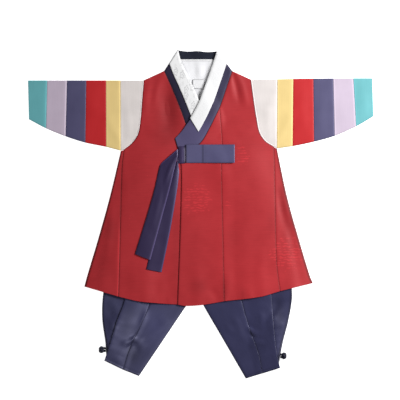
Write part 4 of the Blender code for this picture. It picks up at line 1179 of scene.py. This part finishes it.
def nape_band():
    """The collar's inner side at the nape, with a slightly wavy top edge."""
    def top(columns):
        points = seam(((BAND_TOP_R, BAND_TOP_L), 8))(columns)
        wave = NAPE_DIP + NAPE_WAVE * np.sin(limited((columns - 1) / 6) * 3.0 * math.pi)
        points[:, 1] -= wave * limited(columns) * limited(8.0 - columns)
        return points

    low = seam(((NECK_R, NAPE), 4), ((NAPE, NECK_L), 4))
    rows = stations((3, (BAND_TOP_R, NECK_R), HEM_LINES, SEAM_LINES))
    columns = stations((8, (BAND_TOP_R, BAND_TOP_L), (), ()))
    left, right = seam(((BAND_TOP_R, NECK_R), 3)), seam(((BAND_TOP_L, NECK_L), 3))
    grid = lay("collar_back", panel(left, right, top, low, rows, columns))
    grid = pressed(grid, up=False, seed=8.0, size=18.0, depth=0.5)
    # painted shade along the neckline
    add_cloth("collar_back", grid, *finish("nape"), near=shade_of(grid, "b"))


def neck_inside():
    """What shows inside the neck: the nape band, a white edge strip, the lining and a blank label."""
    nape_band()
    left, right = seam((LINING_EDGE_R, 6)), seam((LINING_EDGE_L, 6))
    ends = (LINING_EDGE_R[0], LINING_EDGE_L[0])
    rows, columns = stations((6, LINING_EDGE_R, HEM_LINES, ())), stations((6, ends, (), ()))
    backs = ("coat_back_r", "coat_back_l")
    under = backs + ("collar_back",)
    grid = lay("lining_back", between(left, right, rows, columns), under, table=LINING_CREASES)
    grid = pressed(grid, seed=9.0, size=20.0, depth=0.35)
    # painted shade along the top edge and towards the bottom of the V
    near = shade_of(grid, "t") * 0.3 + limited((LINING_SHADE_FROM - grid[..., 1]) / LINING_SHADE_OVER)
    top = seam((ends, 6))(columns) + (0.0, STRIP_GAP)
    share = np.linspace(1.0, 0.0, 5)[:, None, None]
    edge = lay("neck_edge_strip", top[None] + share * (0.0, NECK_STRIP_WIDTH), under)
    unshaded = np.zeros(edge.shape[:2])
    strip = add_shell("neck_edge_strip", edge, edge[..., :2] * MM, unshaded, *finish("strip"))
    add_cloth("lining_back", grid, *finish("lining"), near=near, rests_on=backs, with_pieces=(strip,))
    label()


def label():
    """A blank woven label with rounded corners, sewn on all round."""
    middle, half = np.array(LABEL_CENTRE), np.array(LABEL_SIZE) / 2
    (left, bottom), (right, top) = middle - half, middle + half
    plan = rectangle(left, right, bottom, top, (2, 2), cells=(2.0, 2.0))
    corner = limited(np.abs((plan - middle) / half) - LABEL_CORNER_FROM).prod(axis=2) * 10.0
    plan = middle + (plan - middle) * (1.0 - LABEL_CORNER * corner[..., None])
    grid = lay("blank_label", plan, ("lining_back",))
    # painted shade along the sewn edge
    near = shade_of(grid, "lrtb", 0.9)
    grid = groove(grid, "lrtb", 0.25, 1.0)
    add_cloth("blank_label", grid, *finish("label"), near=near, rests_on=("lining_back_cloth",))


def leg_plans(leg, rows):
    """Plan grids of one leg: gusset, top layer to the pleat, pleat return, outer layer and back."""
    inner = seam((CENTRE_SEAM, LEG_TOP_ROWS), (leg["inner"], LEG_LOW_ROWS))
    sewn, pleat, outer = (seam((leg[key], LEG_ROWS)) for key in ("seam", "pleat", "outer"))

    def tuck(at):
        fold = pleat(at)
        depth = PLEAT_DEPTH_TOP + (PLEAT_DEPTH_ANKLE - PLEAT_DEPTH_TOP) * at / LEG_ROWS
        return fold + unit(sewn(at) - fold) * depth[:, None]

    middle = np.array([LEG_ROWS * 0.7])
    strips = {
        "gusset": (inner, sewn, SEAM_LINES, SEAM_LINES),
        "top": (sewn, pleat, SEAM_LINES, ()),
        "return": (pleat, tuck, (), ()),
        "outer": (tuck, outer, (), ()),
        "back": (outer, sewn, (), SEAM_LINES),
    }
    return {
        key: between(left, right, rows, stations((1, (left(middle)[0], right(middle)[0]), first, last)))
        for key, (left, right, first, last) in strips.items()
    }


def hem_stitch(grid):
    """Nearness to the stitch line above the ankle's edge, and the hem's small step there."""
    below = HEM_STITCH - edge_distance(grid, "b")
    line = bell(below, STITCH_WIDTH)
    stepped = grid.copy()
    stepped[..., 2] += HEM_STEP * limited(below) - STITCH_DEPTH * line
    return stepped, line


def domed(grid, line):
    """Raises a leg's cloth softly towards its middle line, as the layers inside hold it up."""
    path = curve(line, np.linspace(0.0, 1.0, 30))
    points = grid[..., :2].reshape(-1, 2)
    away = np.linalg.norm(points[:, None] - path[None], axis=2).min(axis=1).reshape(grid.shape[:2])
    rise = LEG_DOME * limited(1.0 - away / DOME_REACH) ** 1.3
    raised = grid.copy()
    raised[..., 2] += (
        rise * limited((LEG_LEVEL - grid[..., 1]) / DOME_FADE)
        * np.clip(edge_distance(grid, "b") / DOME_HEM_FADE, DOME_HEM_SHARE, 1.0)
    )
    return raised


def trousers():
    """Both legs, lying inside the coat down to its hem, and the hidden waistband."""
    coat_back = ("coat_back_r", "coat_back_l", "gore_back_r", "gore_back_l")
    navy = finish("trousers")
    for side, leg in (("r", LEG_R), ("l", LEG_L)):
        rows = stations((LEG_ROWS, leg["seam"], SEAM_LINES, HEM_LINES), keep=(LEG_TOP_ROWS,))
        plan = leg_plans(leg, rows)
        (high_x, high_y), (low_x, low_y) = leg["inner"][0], leg["inner"][-1]
        grain = math.degrees(math.atan2(high_y - low_y, high_x - low_x)) - 90.0
        gusset_back = lay(f"gusset_back_{side}", plan["gusset"], coat_back, table=LEG_BACK_CREASES)
        back = lay(f"leg_back_{side}", plan["back"], coat_back, table=LEG_BACK_CREASES)
        under = (f"gusset_back_{side}", f"leg_back_{side}")
        outer = lay(f"leg_outer_{side}", plan["outer"], under, table=LEG_CREASES)
        turned = lay(f"leg_return_{side}", plan["return"], (f"leg_outer_{side}",))
        over = under + (f"leg_outer_{side}", f"leg_return_{side}")
        top = lay(f"leg_top_{side}", plan["top"], over, table=LEG_CREASES)
        gusset = lay(f"gusset_front_{side}", plan["gusset"], over, table=LEG_CREASES)
        strips, shades = [], []
        # painted shade along the seams, the rolled edges and inside the folds, and darker along the hem's
        # stitch line
        for strip, sewn in ((top, "l"), (turned, ""), (outer, ""), (back, "")):
            near = SEAM_SHADE * shade_of(strip, sewn)
            if strip is outer:
                near = np.maximum(near, shade_of(strip, "r", EDGE_WIDTH))
            if strip is not back:
                strip, line = hem_stitch(domed(groove(strip, sewn, 0.5, 1.8), leg["pleat"]))
                near = np.maximum(near, np.maximum(0.5 * line, shade_of(strip, "b", EDGE_WIDTH)))
            strips.append(strip)
            shades += [near, np.full((len(strip), FOLD_STEPS - 1), LEG_FOLD_SHADE)]
        joined, near = fold_together(strips), np.concatenate(shades[:-1], axis=1)
        add_cloth(f"trouser_leg_{side}", joined, *navy, near=near, held="folded", grain=grain)
        # painted shade on the gusset's seam and edges, and darker along the stitch line
        near = np.maximum(SEAM_SHADE * shade_of(gusset, "r"), shade_of(gusset, "lb", EDGE_WIDTH))
        front = groove(groove(gusset, "r", 0.5, 1.8), "l", 0.8, 3.0)
        front, line = hem_stitch(domed(front, leg["pleat"]))
        near = np.maximum(near, 0.5 * line)
        add_cloth(f"trouser_gusset_front_{side}", front, *navy, near=near, grain=grain)
        raised = groove(gusset_back, "l", DRAWN_UP, 3.0)
        add_cloth(f"trouser_gusset_back_{side}", raised, *navy, grain=grain)
    band = rectangle(WAIST_R, WAIST_L, WAIST_Y, WAIST_TOP_Y, (2, 11))
    add_cloth("waistband_back", lay("waistband_back", band, coat_back), *navy)
    under = ("waistband_back", "leg_return_r", "leg_return_l", "leg_outer_r", "leg_outer_l")
    add_cloth("waistband_front", lay("waistband_front", band, under), *navy)


def coat_ground():
    """The smooth form that the coat's front takes over what lies inside it."""
    inside = ["coat_back_r", "coat_back_l", "gore_back_r", "gore_back_l"]
    inside += ["collar_back", "lining_back", "neck_edge_strip", "blank_label"]
    inside += [f"{part}_{side}" for side in "rl" for part in ("leg_top", "leg_outer", "gusset_front")]
    low = (HEM_SIDE_R[0] - GROUND_MARGIN, HEM_STRIP_LINE[1][1] - GROUND_MARGIN)
    high = (HEM_SIDE_L[0] + GROUND_MARGIN, BAND_TOP_R[1] + 2 * GROUND_MARGIN)
    drape_over("coat_ground", inside + ["waistband_front"], low, high)


def white_edging(side, band, rows, until, held_by):
    """White edging on the free half of a collar band, turned down over its edge."""
    chosen = rows <= until + 1e-6
    inner = band[chosen, 0]
    outer = inner + (band[chosen, -1] - inner) * WHITE_SHARE
    across = unit(outer - inner)
    edge = inner - across * WHITE_LIP
    width = float(np.linalg.norm(outer - edge, axis=1).mean())
    columns = stations((1, ((0.0, 0.0), (width, 0.0)), (), SEAM_LINES))
    plan = edge[:, None] + (outer - edge)[:, None] * columns[None, :, None]
    name = "collar_white_" + side
    grid = lay(name, plan, (held_by,))
    # painted shade along the edging's sewn edge and at its end
    near = np.hstack((np.zeros((len(grid), 3)), shade_of(grid, "rb", 0.8)))
    grid = groove(grid, "r", 0.35, 1.2)
    lip = np.repeat(grid[:, :1], 3, axis=1)
    for column, (drop, inset) in enumerate(WHITE_LIP_STEPS):
        lip[:, column, 2] -= drop
        lip[:, column, :2] -= across * inset
    grid = np.concatenate((lip, grid), axis=1)
    # the left edging takes the copy whose figure is painted faint, as a painted sheen
    silk = finish("edging" if side == "r" else "edging_lit")
    add_cloth(name, grid, *silk, near=near, plan_threads=False, rests_on=(held_by,))


def seam_shade(grid, side, rows):
    """Painted shade along a front's outer seam: dark down the armhole, fainter down the gore's seam."""
    strength = np.interp(rows, (0.0, ARMHOLE_ROWS, ARMHOLE_ROWS + 1.0), (1.0, 1.0, SEAM_SHADE))
    return shade_of(grid, side) * strength[:, None]


def right_front():
    """Right front with its collar band; both run on under the left front."""
    edge = seam((ARMHOLE_R, ARMHOLE_ROWS), (GORE_SEAM_R, SKIRT_ROWS))
    opening = seam((BAND_OUTER_R, NECK_ROWS_R), (UNDER_EDGE, COAT_ROWS - NECK_ROWS_R))
    runs = (ARMHOLE_ROWS, ARMHOLE_R, SEAM_LINES, ()), (SKIRT_ROWS, GORE_SEAM_R, (), HEM_LINES)
    rows, columns = stations(*runs, keep=(NECK_ROWS_R,)), stations((8, HEM_R, SEAM_LINES, SEAM_LINES))
    top, hem = seam(((TIP_R, NECK_R), 8)), seam((HEM_R, 8))
    grid = lay("coat_front_r", panel(edge, opening, top, hem, rows, columns), (), "coat_ground")
    # painted shade along the armhole, the gore's seam and the opening
    near = seam_shade(grid, "l", rows) + SEAM_SHADE * shade_of(grid, "r")
    add_cloth("coat_front_r", pressed(groove(grid, "lr"), seed=11.0), *finish("coat"), near=near)
    inner, outer = seam((BAND_INNER_R, NECK_ROWS_R)), seam((BAND_OUTER_R, NECK_ROWS_R))
    rows = stations((NECK_ROWS_R, BAND_INNER_R, (), SEAM_LINES))
    columns = stations((3, (BAND_TOP_R, NECK_R), SEAM_LINES, SEAM_LINES))
    plan = between(inner, outer, rows, columns)
    grid = lay("collar_r", plan, (), "coat_ground")
    # painted shade over the whole band, darker along its sewn edge
    near = np.maximum(shade_of(grid, "r", 1.8), COLLAR_SHADED)
    add_cloth("collar_r", groove(grid, "r", 0.6, 2.2), *finish("collar"), near=near, plan_threads=False)
    white_edging("r", plan, rows, NECK_ROWS_R, "collar_r")


def left_front(crossed):
    """Left front, its overlap strip and its collar band, all lying over the right front."""
    opening = seam((BAND_OUTER_L_HIGH, NECK_ROWS_L), (STRIP_SEAM, STRIP_ROWS))
    edge = seam((ARMHOLE_L, ARMHOLE_ROWS), (GORE_SEAM_L, SKIRT_ROWS))
    runs = (ARMHOLE_ROWS, ARMHOLE_L, SEAM_LINES, ()), (SKIRT_ROWS, GORE_SEAM_L, (), HEM_LINES)
    rows, columns = stations(*runs, keep=(NECK_ROWS_L,)), stations((6, HEM_L, SEAM_LINES, SEAM_LINES))
    top, hem = seam(((NECK_L, TIP_L), 6)), seam((HEM_L, 6))
    grid = lay("coat_front_l", panel(opening, edge, top, hem, rows, columns), crossed, "coat_ground")
    # painted shade along the armhole, the gore's seam and the strip's seam
    near = seam_shade(grid, "r", rows) + SEAM_SHADE * shade_of(grid, "l")
    grid = pressed(groove(groove(grid, "l"), "r", LIT_SEAM_DEPTH), seed=13.0)
    add_cloth("coat_front_l", grid, *finish("coat"), near=near)
    overlap_strip(crossed)
    inner = seam((BAND_INNER_L_HIGH, NECK_ROWS_L), (BAND_INNER_L_LOW, COLLAR_LOW_ROWS))
    outer = seam((BAND_OUTER_L_HIGH, NECK_ROWS_L), (BAND_OUTER_L_LOW, COLLAR_LOW_ROWS))
    runs = (NECK_ROWS_L, BAND_INNER_L_HIGH, (), ()), (COLLAR_LOW_ROWS, BAND_INNER_L_LOW, (), SEAM_LINES)
    rows = stations(*runs, keep=(WHITE_ROWS_L,))
    columns = stations((3, (BAND_TOP_L, NECK_L), SEAM_LINES, SEAM_LINES))
    plan = between(inner, outer, rows, columns)
    grid = lay("collar_l", plan, crossed, "coat_ground")
    # painted highlight on the collar's flat end, painted shade along its sewn edge and end
    lit = limited((COLLAR_LIT_FROM - grid[..., 1]) / COLLAR_LIT_OVER)
    shade = shade_of(grid, "rb", 1.8)
    near = np.where(shade > 0.4, shade, -COLLAR_LIT * lit)
    add_cloth("collar_l", groove(grid, "r", 0.6, 2.2), *finish("collar"), near=near, plan_threads=False)
    white_edging("l", plan, rows, WHITE_ROWS_L, "collar_l")


def overlap_strip(crossed):
    """The strip along the closing edge of the left front."""
    free, sewn = seam((OVERLAP_EDGE, STRIP_ROWS)), seam((STRIP_SEAM, STRIP_ROWS))
    rows = stations((STRIP_ROWS, STRIP_SEAM, SEAM_LINES, HEM_LINES))
    columns = stations((9, HEM_STRIP_LINE, SEAM_LINES, SEAM_LINES))
    top, hem = seam((BAND_OUTER_L_LOW[::-1], 9)), seam((HEM_STRIP_LINE, 9))
    grid = lay("coat_overlap_l", panel(free, sewn, top, hem, rows, columns), crossed, "coat_ground")
    # painted shade along the sewn edges, and darker along the free edge that lies over the right front
    near = np.maximum(SEAM_SHADE * shade_of(grid, "rt"), shade_of(grid, "l", 1.2))
    grid = pressed(groove(groove(grid, "t"), "r", LIT_SEAM_DEPTH), seed=13.0)
    add_cloth("coat_overlap_l", groove(grid, "l", 0.4, 1.4), *finish("coat"), near=near)


def tie(under):
    """The bow: a loop folded at its end, two tails and the knot that gathers them."""
    bow_loop(under)
    beneath = under
    for name, tail in (("tie_tail_lower", TAIL_LOWER), ("tie_tail_upper", TAIL_UPPER)):
        left, right = seam((tail["left"], 16)), seam((tail["right"], 16))
        rows = stations((16, tail["left"], (), HEM_LINES))
        columns = stations((3, (tail["left"][3], tail["right"][3]), SEAM_LINES, SEAM_LINES))
        grid = lay(name, between(left, right, rows, columns), beneath, table=TAIL_CREASES)
        # painted shade along the left edge, painted highlight lines along the right edge and the turned
        # corner
        lit = TAIL_LIGHT * limited((TAIL_LIT_BELOW - grid[..., 1]) / TAIL_LIT_FADE)
        near = 0.8 * shade_of(grid, "l") - lit * bell(edge_distance(grid, "r") - 0.9, 0.9)
        if tail is TAIL_UPPER:
            turned = limited((grid[:, 0, 1] - TAIL_CORNER_Y) / CORNER_FADE)[:, None]
            near -= turned * CORNER_LIGHT * bell(edge_distance(grid, "l") - 0.6, 0.8)
        grid = groove(groove(grid, "l", 0.5, 1.8), "r", 0.9, 2.0)
        add_cloth(name, grid, *finish("tail"), near=near, plan_threads=False)
        beneath = beneath + (name,)
    knot(under)


def bow_loop(under):
    """The bow's single loop, its ribbon doubled near the knot and folded at the far end."""
    plan = rectangle(LOOP_LEFT, LOOP_RIGHT, LOOP_BOTTOM, LOOP_TOP, (3, 8), last=(), cells=(None, 2.6))
    lower = lay("tie_loop_lower", plan, under)
    upper = lay("tie_loop_upper", plan, ("tie_loop_lower",))
    x = plan[..., 0]
    lift = LOOP_LIFT * limited((x - LOOP_LIFT_FROM) / (LOOP_RIGHT - LOOP_LIFT_FROM)) ** 1.5
    lower[..., 2] += lift
    step = limited((LOOP_STEP_X - x) / LOOP_STEP_WIDTH)
    # painted shade on the step and on the second line, and along the loop's edges
    line = bell(x - LOOP_STEP_X, LOOP_LINE_WIDTH)
    line += 0.4 * bell(x - LOOP_STEP_X - LOOP_SECOND_LINE, LOOP_SECOND_WIDTH)
    near = np.maximum(np.maximum(0.6 * line, shade_of(upper, "l", 2.0)), 0.3 * shade_of(upper, "tb"))
    upper[..., 2] += lift + LOOP_STEP * step - 0.3 * line
    joined = fold_together((groove(upper, "tb", 0.45, 1.6), lower[:, ::-1]))
    shade = np.zeros(joined.shape[:2])
    shade[:, :near.shape[1]] = near
    add_cloth("tie_loop", joined, *finish("tie"), near=shade, held="folded")


def knot(under):
    """The wrap that gathers the bow: a narrow domed band with upright gathers."""
    (x, y), (width, height) = KNOT_CENTRE, KNOT_SIZE
    v, u = np.meshgrid(np.linspace(-1.0, 1.0, 34), np.linspace(-1.0, 1.0, 40), indexing="ij")
    across = x + u * width / 2 * (1 - KNOT_WAIST * v**2)
    plan = np.dstack((across, y - KNOT_DROP - v * (height / 2 - KNOT_DROP)))
    grid = lay("tie_knot", plan, under)
    dome = (1 - u**2) * (1 - v**6)
    gathers = sum(rise * bell(u - start - drift * v, GATHER_WIDTH) for start, drift, rise in KNOT_GATHERS)
    grid[..., 2] += dome * (KNOT_RISE + gathers * GATHER_HEIGHT) - WALL * 0.2
    # a lighter tone over the whole wrap, painted shade on its left side, a painted highlight crest and
    # painted shade in the gap before the loop
    near = 0.4 * limited((KNOT_DARK - u) / 0.15) - 0.4
    near += sum(tone * bell(u - place, wide) for place, wide, tone in KNOT_TONES)
    add_cloth("tie_knot", grid, *finish("tail"), near=near, held="gathered", plan_threads=False)


def ankle_buttons():
    """A knotted ball at each outer ankle, a braid round a core, on a short stem of two cords."""
    cord = finish("knot")
    for side, (x, y), leg in (("r", BUTTON_R, LEG_R), ("l", BUTTON_L, LEG_L)):
        edge = curve(leg["outer"], np.linspace(0.0, 1.0, 120))
        edge_x = np.interp(y, edge[::-1, 1], edge[::-1, 0])
        centre = np.array((x, y, BUTTON_RADIUS * BUTTON_FLATNESS))
        turn = np.linspace(0.0, 2 * math.pi * BRAID_LEADS, 240)
        swing = turn * BRAID_BIGHTS / BRAID_LEADS
        lift = np.radians(BRAID_SWING) * np.sin(swing)
        reach = BUTTON_RADIUS - BRAID_RADIUS + BRAID_WEAVE * np.cos(2 * swing)
        path = np.column_stack((np.sin(lift), np.cos(lift) * np.cos(turn), np.cos(lift) * np.sin(turn)))
        path *= reach[:, None] * (1.0, 1.0, BUTTON_FLATNESS)
        radii = (BRAID_RADIUS, BRAID_RADIUS)
        braid = add_strand("ankle_braid_" + side, path + centre, radii, *cord, out=path)
        ball("ankle_core_" + side, centre, BUTTON_RADIUS - BRAID_RADIUS, *cord)
        towards = np.linspace(0.0, 1.0, 16)
        z = CORD_RADIUS + STEM_RISE * (1.0 - towards) ** 2 + STEM_CLEAR
        for place, offset in (("upper", STEM_SIDE), ("lower", -STEM_SIDE)):
            path = np.column_stack((x + (edge_x - x) * towards, y + offset * (1.15 - 0.3 * towards), z))
            name = f"ankle_stem_{side}_{place}"
            add_strand(name, path, (CORD_RADIUS, CORD_RADIUS), *cord, out=(0.0, 0.0, 1.0))
        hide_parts("ankle_button_" + side)


def ball(name, centre, radius, silk, slot):
    """The stuffed core of a knotted button."""
    lift = np.linspace(-BALL_LIFT, BALL_LIFT, BALL_ROWS)
    turn = np.linspace(0.0, 2 * math.pi, BALL_COLUMNS, endpoint=False)
    lift, turn = np.meshgrid(lift, turn, indexing="ij")
    across = np.cos(lift)
    shape = np.stack((across * np.cos(turn), across * np.sin(turn), np.sin(lift) * BUTTON_FLATNESS), axis=2)
    add_trim(name, centre + radius * shape, silk, slot)


# Stage


def stage():
    """A pale floor, soft light from the upper right and a camera straight above."""
    scene = bpy.context.scene
    scene.view_settings.view_transform = "Standard"
    floor = bpy.data.meshes.new("floor")
    corners = [(x * FLOOR_HALF, y * FLOOR_HALF, 0.0) for x, y in ((-1, -1), (1, -1), (1, 1), (-1, 1))]
    floor.from_pydata(corners, [], [(0, 1, 2, 3)])
    # matt white paper that glows a little, so that it shows as the photo's plain white ground
    paper = bpy.data.materials.new("paper_matt_white")
    paper.use_nodes = True
    shader = paper.node_tree.nodes["Principled BSDF"]
    shader.inputs["Base Color"].default_value = (*linear(PAPER_WHITE), 1.0)
    shader.inputs["Roughness"].default_value = 0.9
    shader.inputs["Emission Color"].default_value = (1.0, 1.0, 1.0, 1.0)
    shader.inputs["Emission Strength"].default_value = FLOOR_GLOW
    floor.materials.append(paper)
    ground = bpy.data.objects.new("floor", floor)
    scene.collection.objects.link(ground)
    for name, place, size, power in LIGHTS:
        data = bpy.data.lights.new(name, "AREA")
        data.energy, data.size, data.shape = power, size, "SQUARE"
        lamp = bpy.data.objects.new(name, data)
        lamp.location = place
        aim = Vector(LIGHT_AIM) - Vector(place)
        lamp.rotation_euler = aim.to_track_quat("-Z", "Y").to_euler()
        # a fill only lifts the shade and leaves no second gloss on the silk
        lamp.visible_glossy = not name.startswith("fill")
        scene.collection.objects.link(lamp)
    world = bpy.data.worlds.new("studio")
    world.use_nodes = True
    sky = world.node_tree.nodes["Background"]
    sky.inputs["Color"].default_value = (1.0, 1.0, 1.0, 1.0)
    sky.inputs["Strength"].default_value = WORLD_STRENGTH
    scene.world = world
    data = bpy.data.cameras.new("camera")
    data.sensor_width = SENSOR_WIDTH
    data.lens = data.sensor_width * CAMERA_HEIGHT / (PHOTO_SCALE * PHOTO_SIDE * MM)
    data.clip_end = VIEW_DEPTH
    camera = bpy.data.objects.new("camera", data)
    camera.location = (VIEW_CENTRE[0] * MM, VIEW_CENTRE[1] * MM, CAMERA_HEIGHT)
    scene.collection.objects.link(camera)
    scene.camera = camera


# Add-on


class HanbokCloth(bpy.types.PropertyGroup):
    """Sizes of the cloth that a user may change."""

    thickness: bpy.props.FloatProperty(
        name="Thickness", description="Thickness of the silk with its lining", default=0.0008,
        min=0.0004, max=0.0011, subtype="DISTANCE", unit="LENGTH",
    )
    cell: bpy.props.FloatProperty(
        name="Cell", description="Spacing of the cross lines that the folds are drawn with", default=0.005,
        min=0.002, max=0.012, subtype="DISTANCE", unit="LENGTH",
    )
    seam_depth: bpy.props.FloatProperty(
        name="Seam depth", description="How far the stitches draw a sewn edge down", default=0.0003,
        min=0.0, max=0.0006, subtype="DISTANCE", unit="LENGTH",
    )
    fold_depth: bpy.props.FloatProperty(
        name="Fold depth", description="Strength of all creases", default=1.0, min=0.0, max=1.5,
        subtype="FACTOR",
    )


def dye(label_text, description, code):
    """A colour property of a cloth."""
    return bpy.props.FloatVectorProperty(
        name=label_text, description=description, default=linear(code), size=3, min=0.0, max=1.0,
        subtype="COLOR",
    )


class HanbokColours(bpy.types.PropertyGroup):
    """Colours of the cloths."""

    coat_red: dye("Coat red", "Damask of the coat", "#b52d33")
    teal: dye("Teal", "Cuff stripe", "#6bb5bb")
    lilac: dye("Lilac", "Second stripe", "#cbbbce")
    stripe_navy: dye("Stripe navy", "Third stripe", "#514e70")
    stripe_red: dye("Stripe red", "Fourth stripe", "#c72429")
    yellow: dye("Yellow", "Fifth stripe", "#f1d48e")
    white: dye("White", "Stripe at the armhole", "#e9e1de")
    piping: dye("Piping", "Piping of the armhole", "#fff4f4")
    trouser_navy: dye("Trouser navy", "Satin of the trousers", "#363656")
    collar_navy: dye("Collar navy", "Satin of the collar", "#343048")
    # a darker navy as painted shade on the inside of the collar
    nape_navy: dye("Nape navy", "Inside of the collar", "#1b2030")
    # the bow's loop and its tails are one satin: the lighter and the darker navy are painted light and
    # shade
    tie_navy: dye("Tie navy", "Satin of the bow", "#535076")
    tail_navy: dye("Tail navy", "Satin of the tie's tails", "#32294a")
    knot_navy: dye("Knot navy", "Cord of the buttons", "#11132a")
    edging_white: dye("Edging white", "Brocade of the collar's edging", "#fafafb")
    lining_white: dye("Lining white", "Lining inside the neck", "#f6f6f9")
    label_white: dye("Label white", "Blank label", "#f4f4f6")


class HANBOK_OT_stage(bpy.types.Operator):
    """Sets the floor, the lights and the camera"""

    bl_idname, bl_label = "hanbok.stage", "Stage"

    def execute(self, context):
        stage()
        return {"FINISHED"}


class HANBOK_OT_sleeves(bpy.types.Operator):
    """Makes the striped sleeves and the armholes' piping"""

    bl_idname, bl_label = "hanbok.sleeves", "Sleeves"

    def execute(self, context):
        sleeve_bands("r", SLEEVE_R, ARMHOLE_R)
        sleeve_bands("l", SLEEVE_L, ARMHOLE_L)
        piping("r", ARMHOLE_R, 1.0)
        piping("l", ARMHOLE_L, -1.0)
        return {"FINISHED"}


class HANBOK_OT_coat_back(bpy.types.Operator):
    """Makes the coat's back panels"""

    bl_idname, bl_label = "hanbok.coat_back", "Coat back"

    def execute(self, context):
        coat_backs()
        gore_backs()
        return {"FINISHED"}


class HANBOK_OT_neck(bpy.types.Operator):
    """Makes what shows inside the neck"""

    bl_idname, bl_label = "hanbok.neck", "Neck inside"

    def execute(self, context):
        neck_inside()
        return {"FINISHED"}


class HANBOK_OT_trousers(bpy.types.Operator):
    """Makes the trousers with their pleats and the knotted buttons"""

    bl_idname, bl_label = "hanbok.trousers", "Trousers"

    def execute(self, context):
        trousers()
        ankle_buttons()
        return {"FINISHED"}


class HANBOK_OT_coat_front(bpy.types.Operator):
    """Makes the coat's fronts, gores and crossed collar"""

    bl_idname, bl_label = "hanbok.coat_front", "Coat front"

    def execute(self, context):
        coat_ground()
        gores()
        right_front()
        left_front(CROSSED)
        return {"FINISHED"}


class HANBOK_OT_tie(bpy.types.Operator):
    """Makes the bow, its tails and its knot"""

    bl_idname, bl_label = "hanbok.tie", "Tie"

    def execute(self, context):
        tie(CROSSED + OVER)
        return {"FINISHED"}


class HANBOK_PT_panel(bpy.types.Panel):
    """Lists the steps and the sizes and colours"""

    bl_idname, bl_label = "HANBOK_PT_panel", "Hanbok"
    bl_space_type, bl_region_type, bl_category = "VIEW_3D", "UI", "Hanbok"

    def draw(self, context):
        for kind in STEPS:
            self.layout.operator(kind.bl_idname)
        for group in (context.scene.hanbok_cloth, context.scene.hanbok_colours):
            for key in group.bl_rna.properties.keys():
                if key not in ("rna_type", "name"):
                    self.layout.prop(group, key)


STEPS = (
    HANBOK_OT_stage, HANBOK_OT_sleeves, HANBOK_OT_coat_back, HANBOK_OT_neck, HANBOK_OT_trousers,
    HANBOK_OT_coat_front, HANBOK_OT_tie,
)
CLASSES = (HanbokCloth, HanbokColours, *STEPS, HANBOK_PT_panel)


def register():
    for kind in CLASSES:
        bpy.utils.register_class(kind)
    bpy.types.Scene.hanbok_cloth = bpy.props.PointerProperty(type=HanbokCloth)
    bpy.types.Scene.hanbok_colours = bpy.props.PointerProperty(type=HanbokColours)


def unregister():
    del bpy.types.Scene.hanbok_cloth, bpy.types.Scene.hanbok_colours
    for kind in reversed(CLASSES):
        bpy.utils.unregister_class(kind)


def main():
    register()
    bpy.ops.hanbok.stage()
    bpy.ops.hanbok.sleeves()
    bpy.ops.hanbok.coat_back()
    bpy.ops.hanbok.neck()
    bpy.ops.hanbok.trousers()
    bpy.ops.hanbok.coat_front()
    bpy.ops.hanbok.tie()


if __name__ == "__main__":
    main()
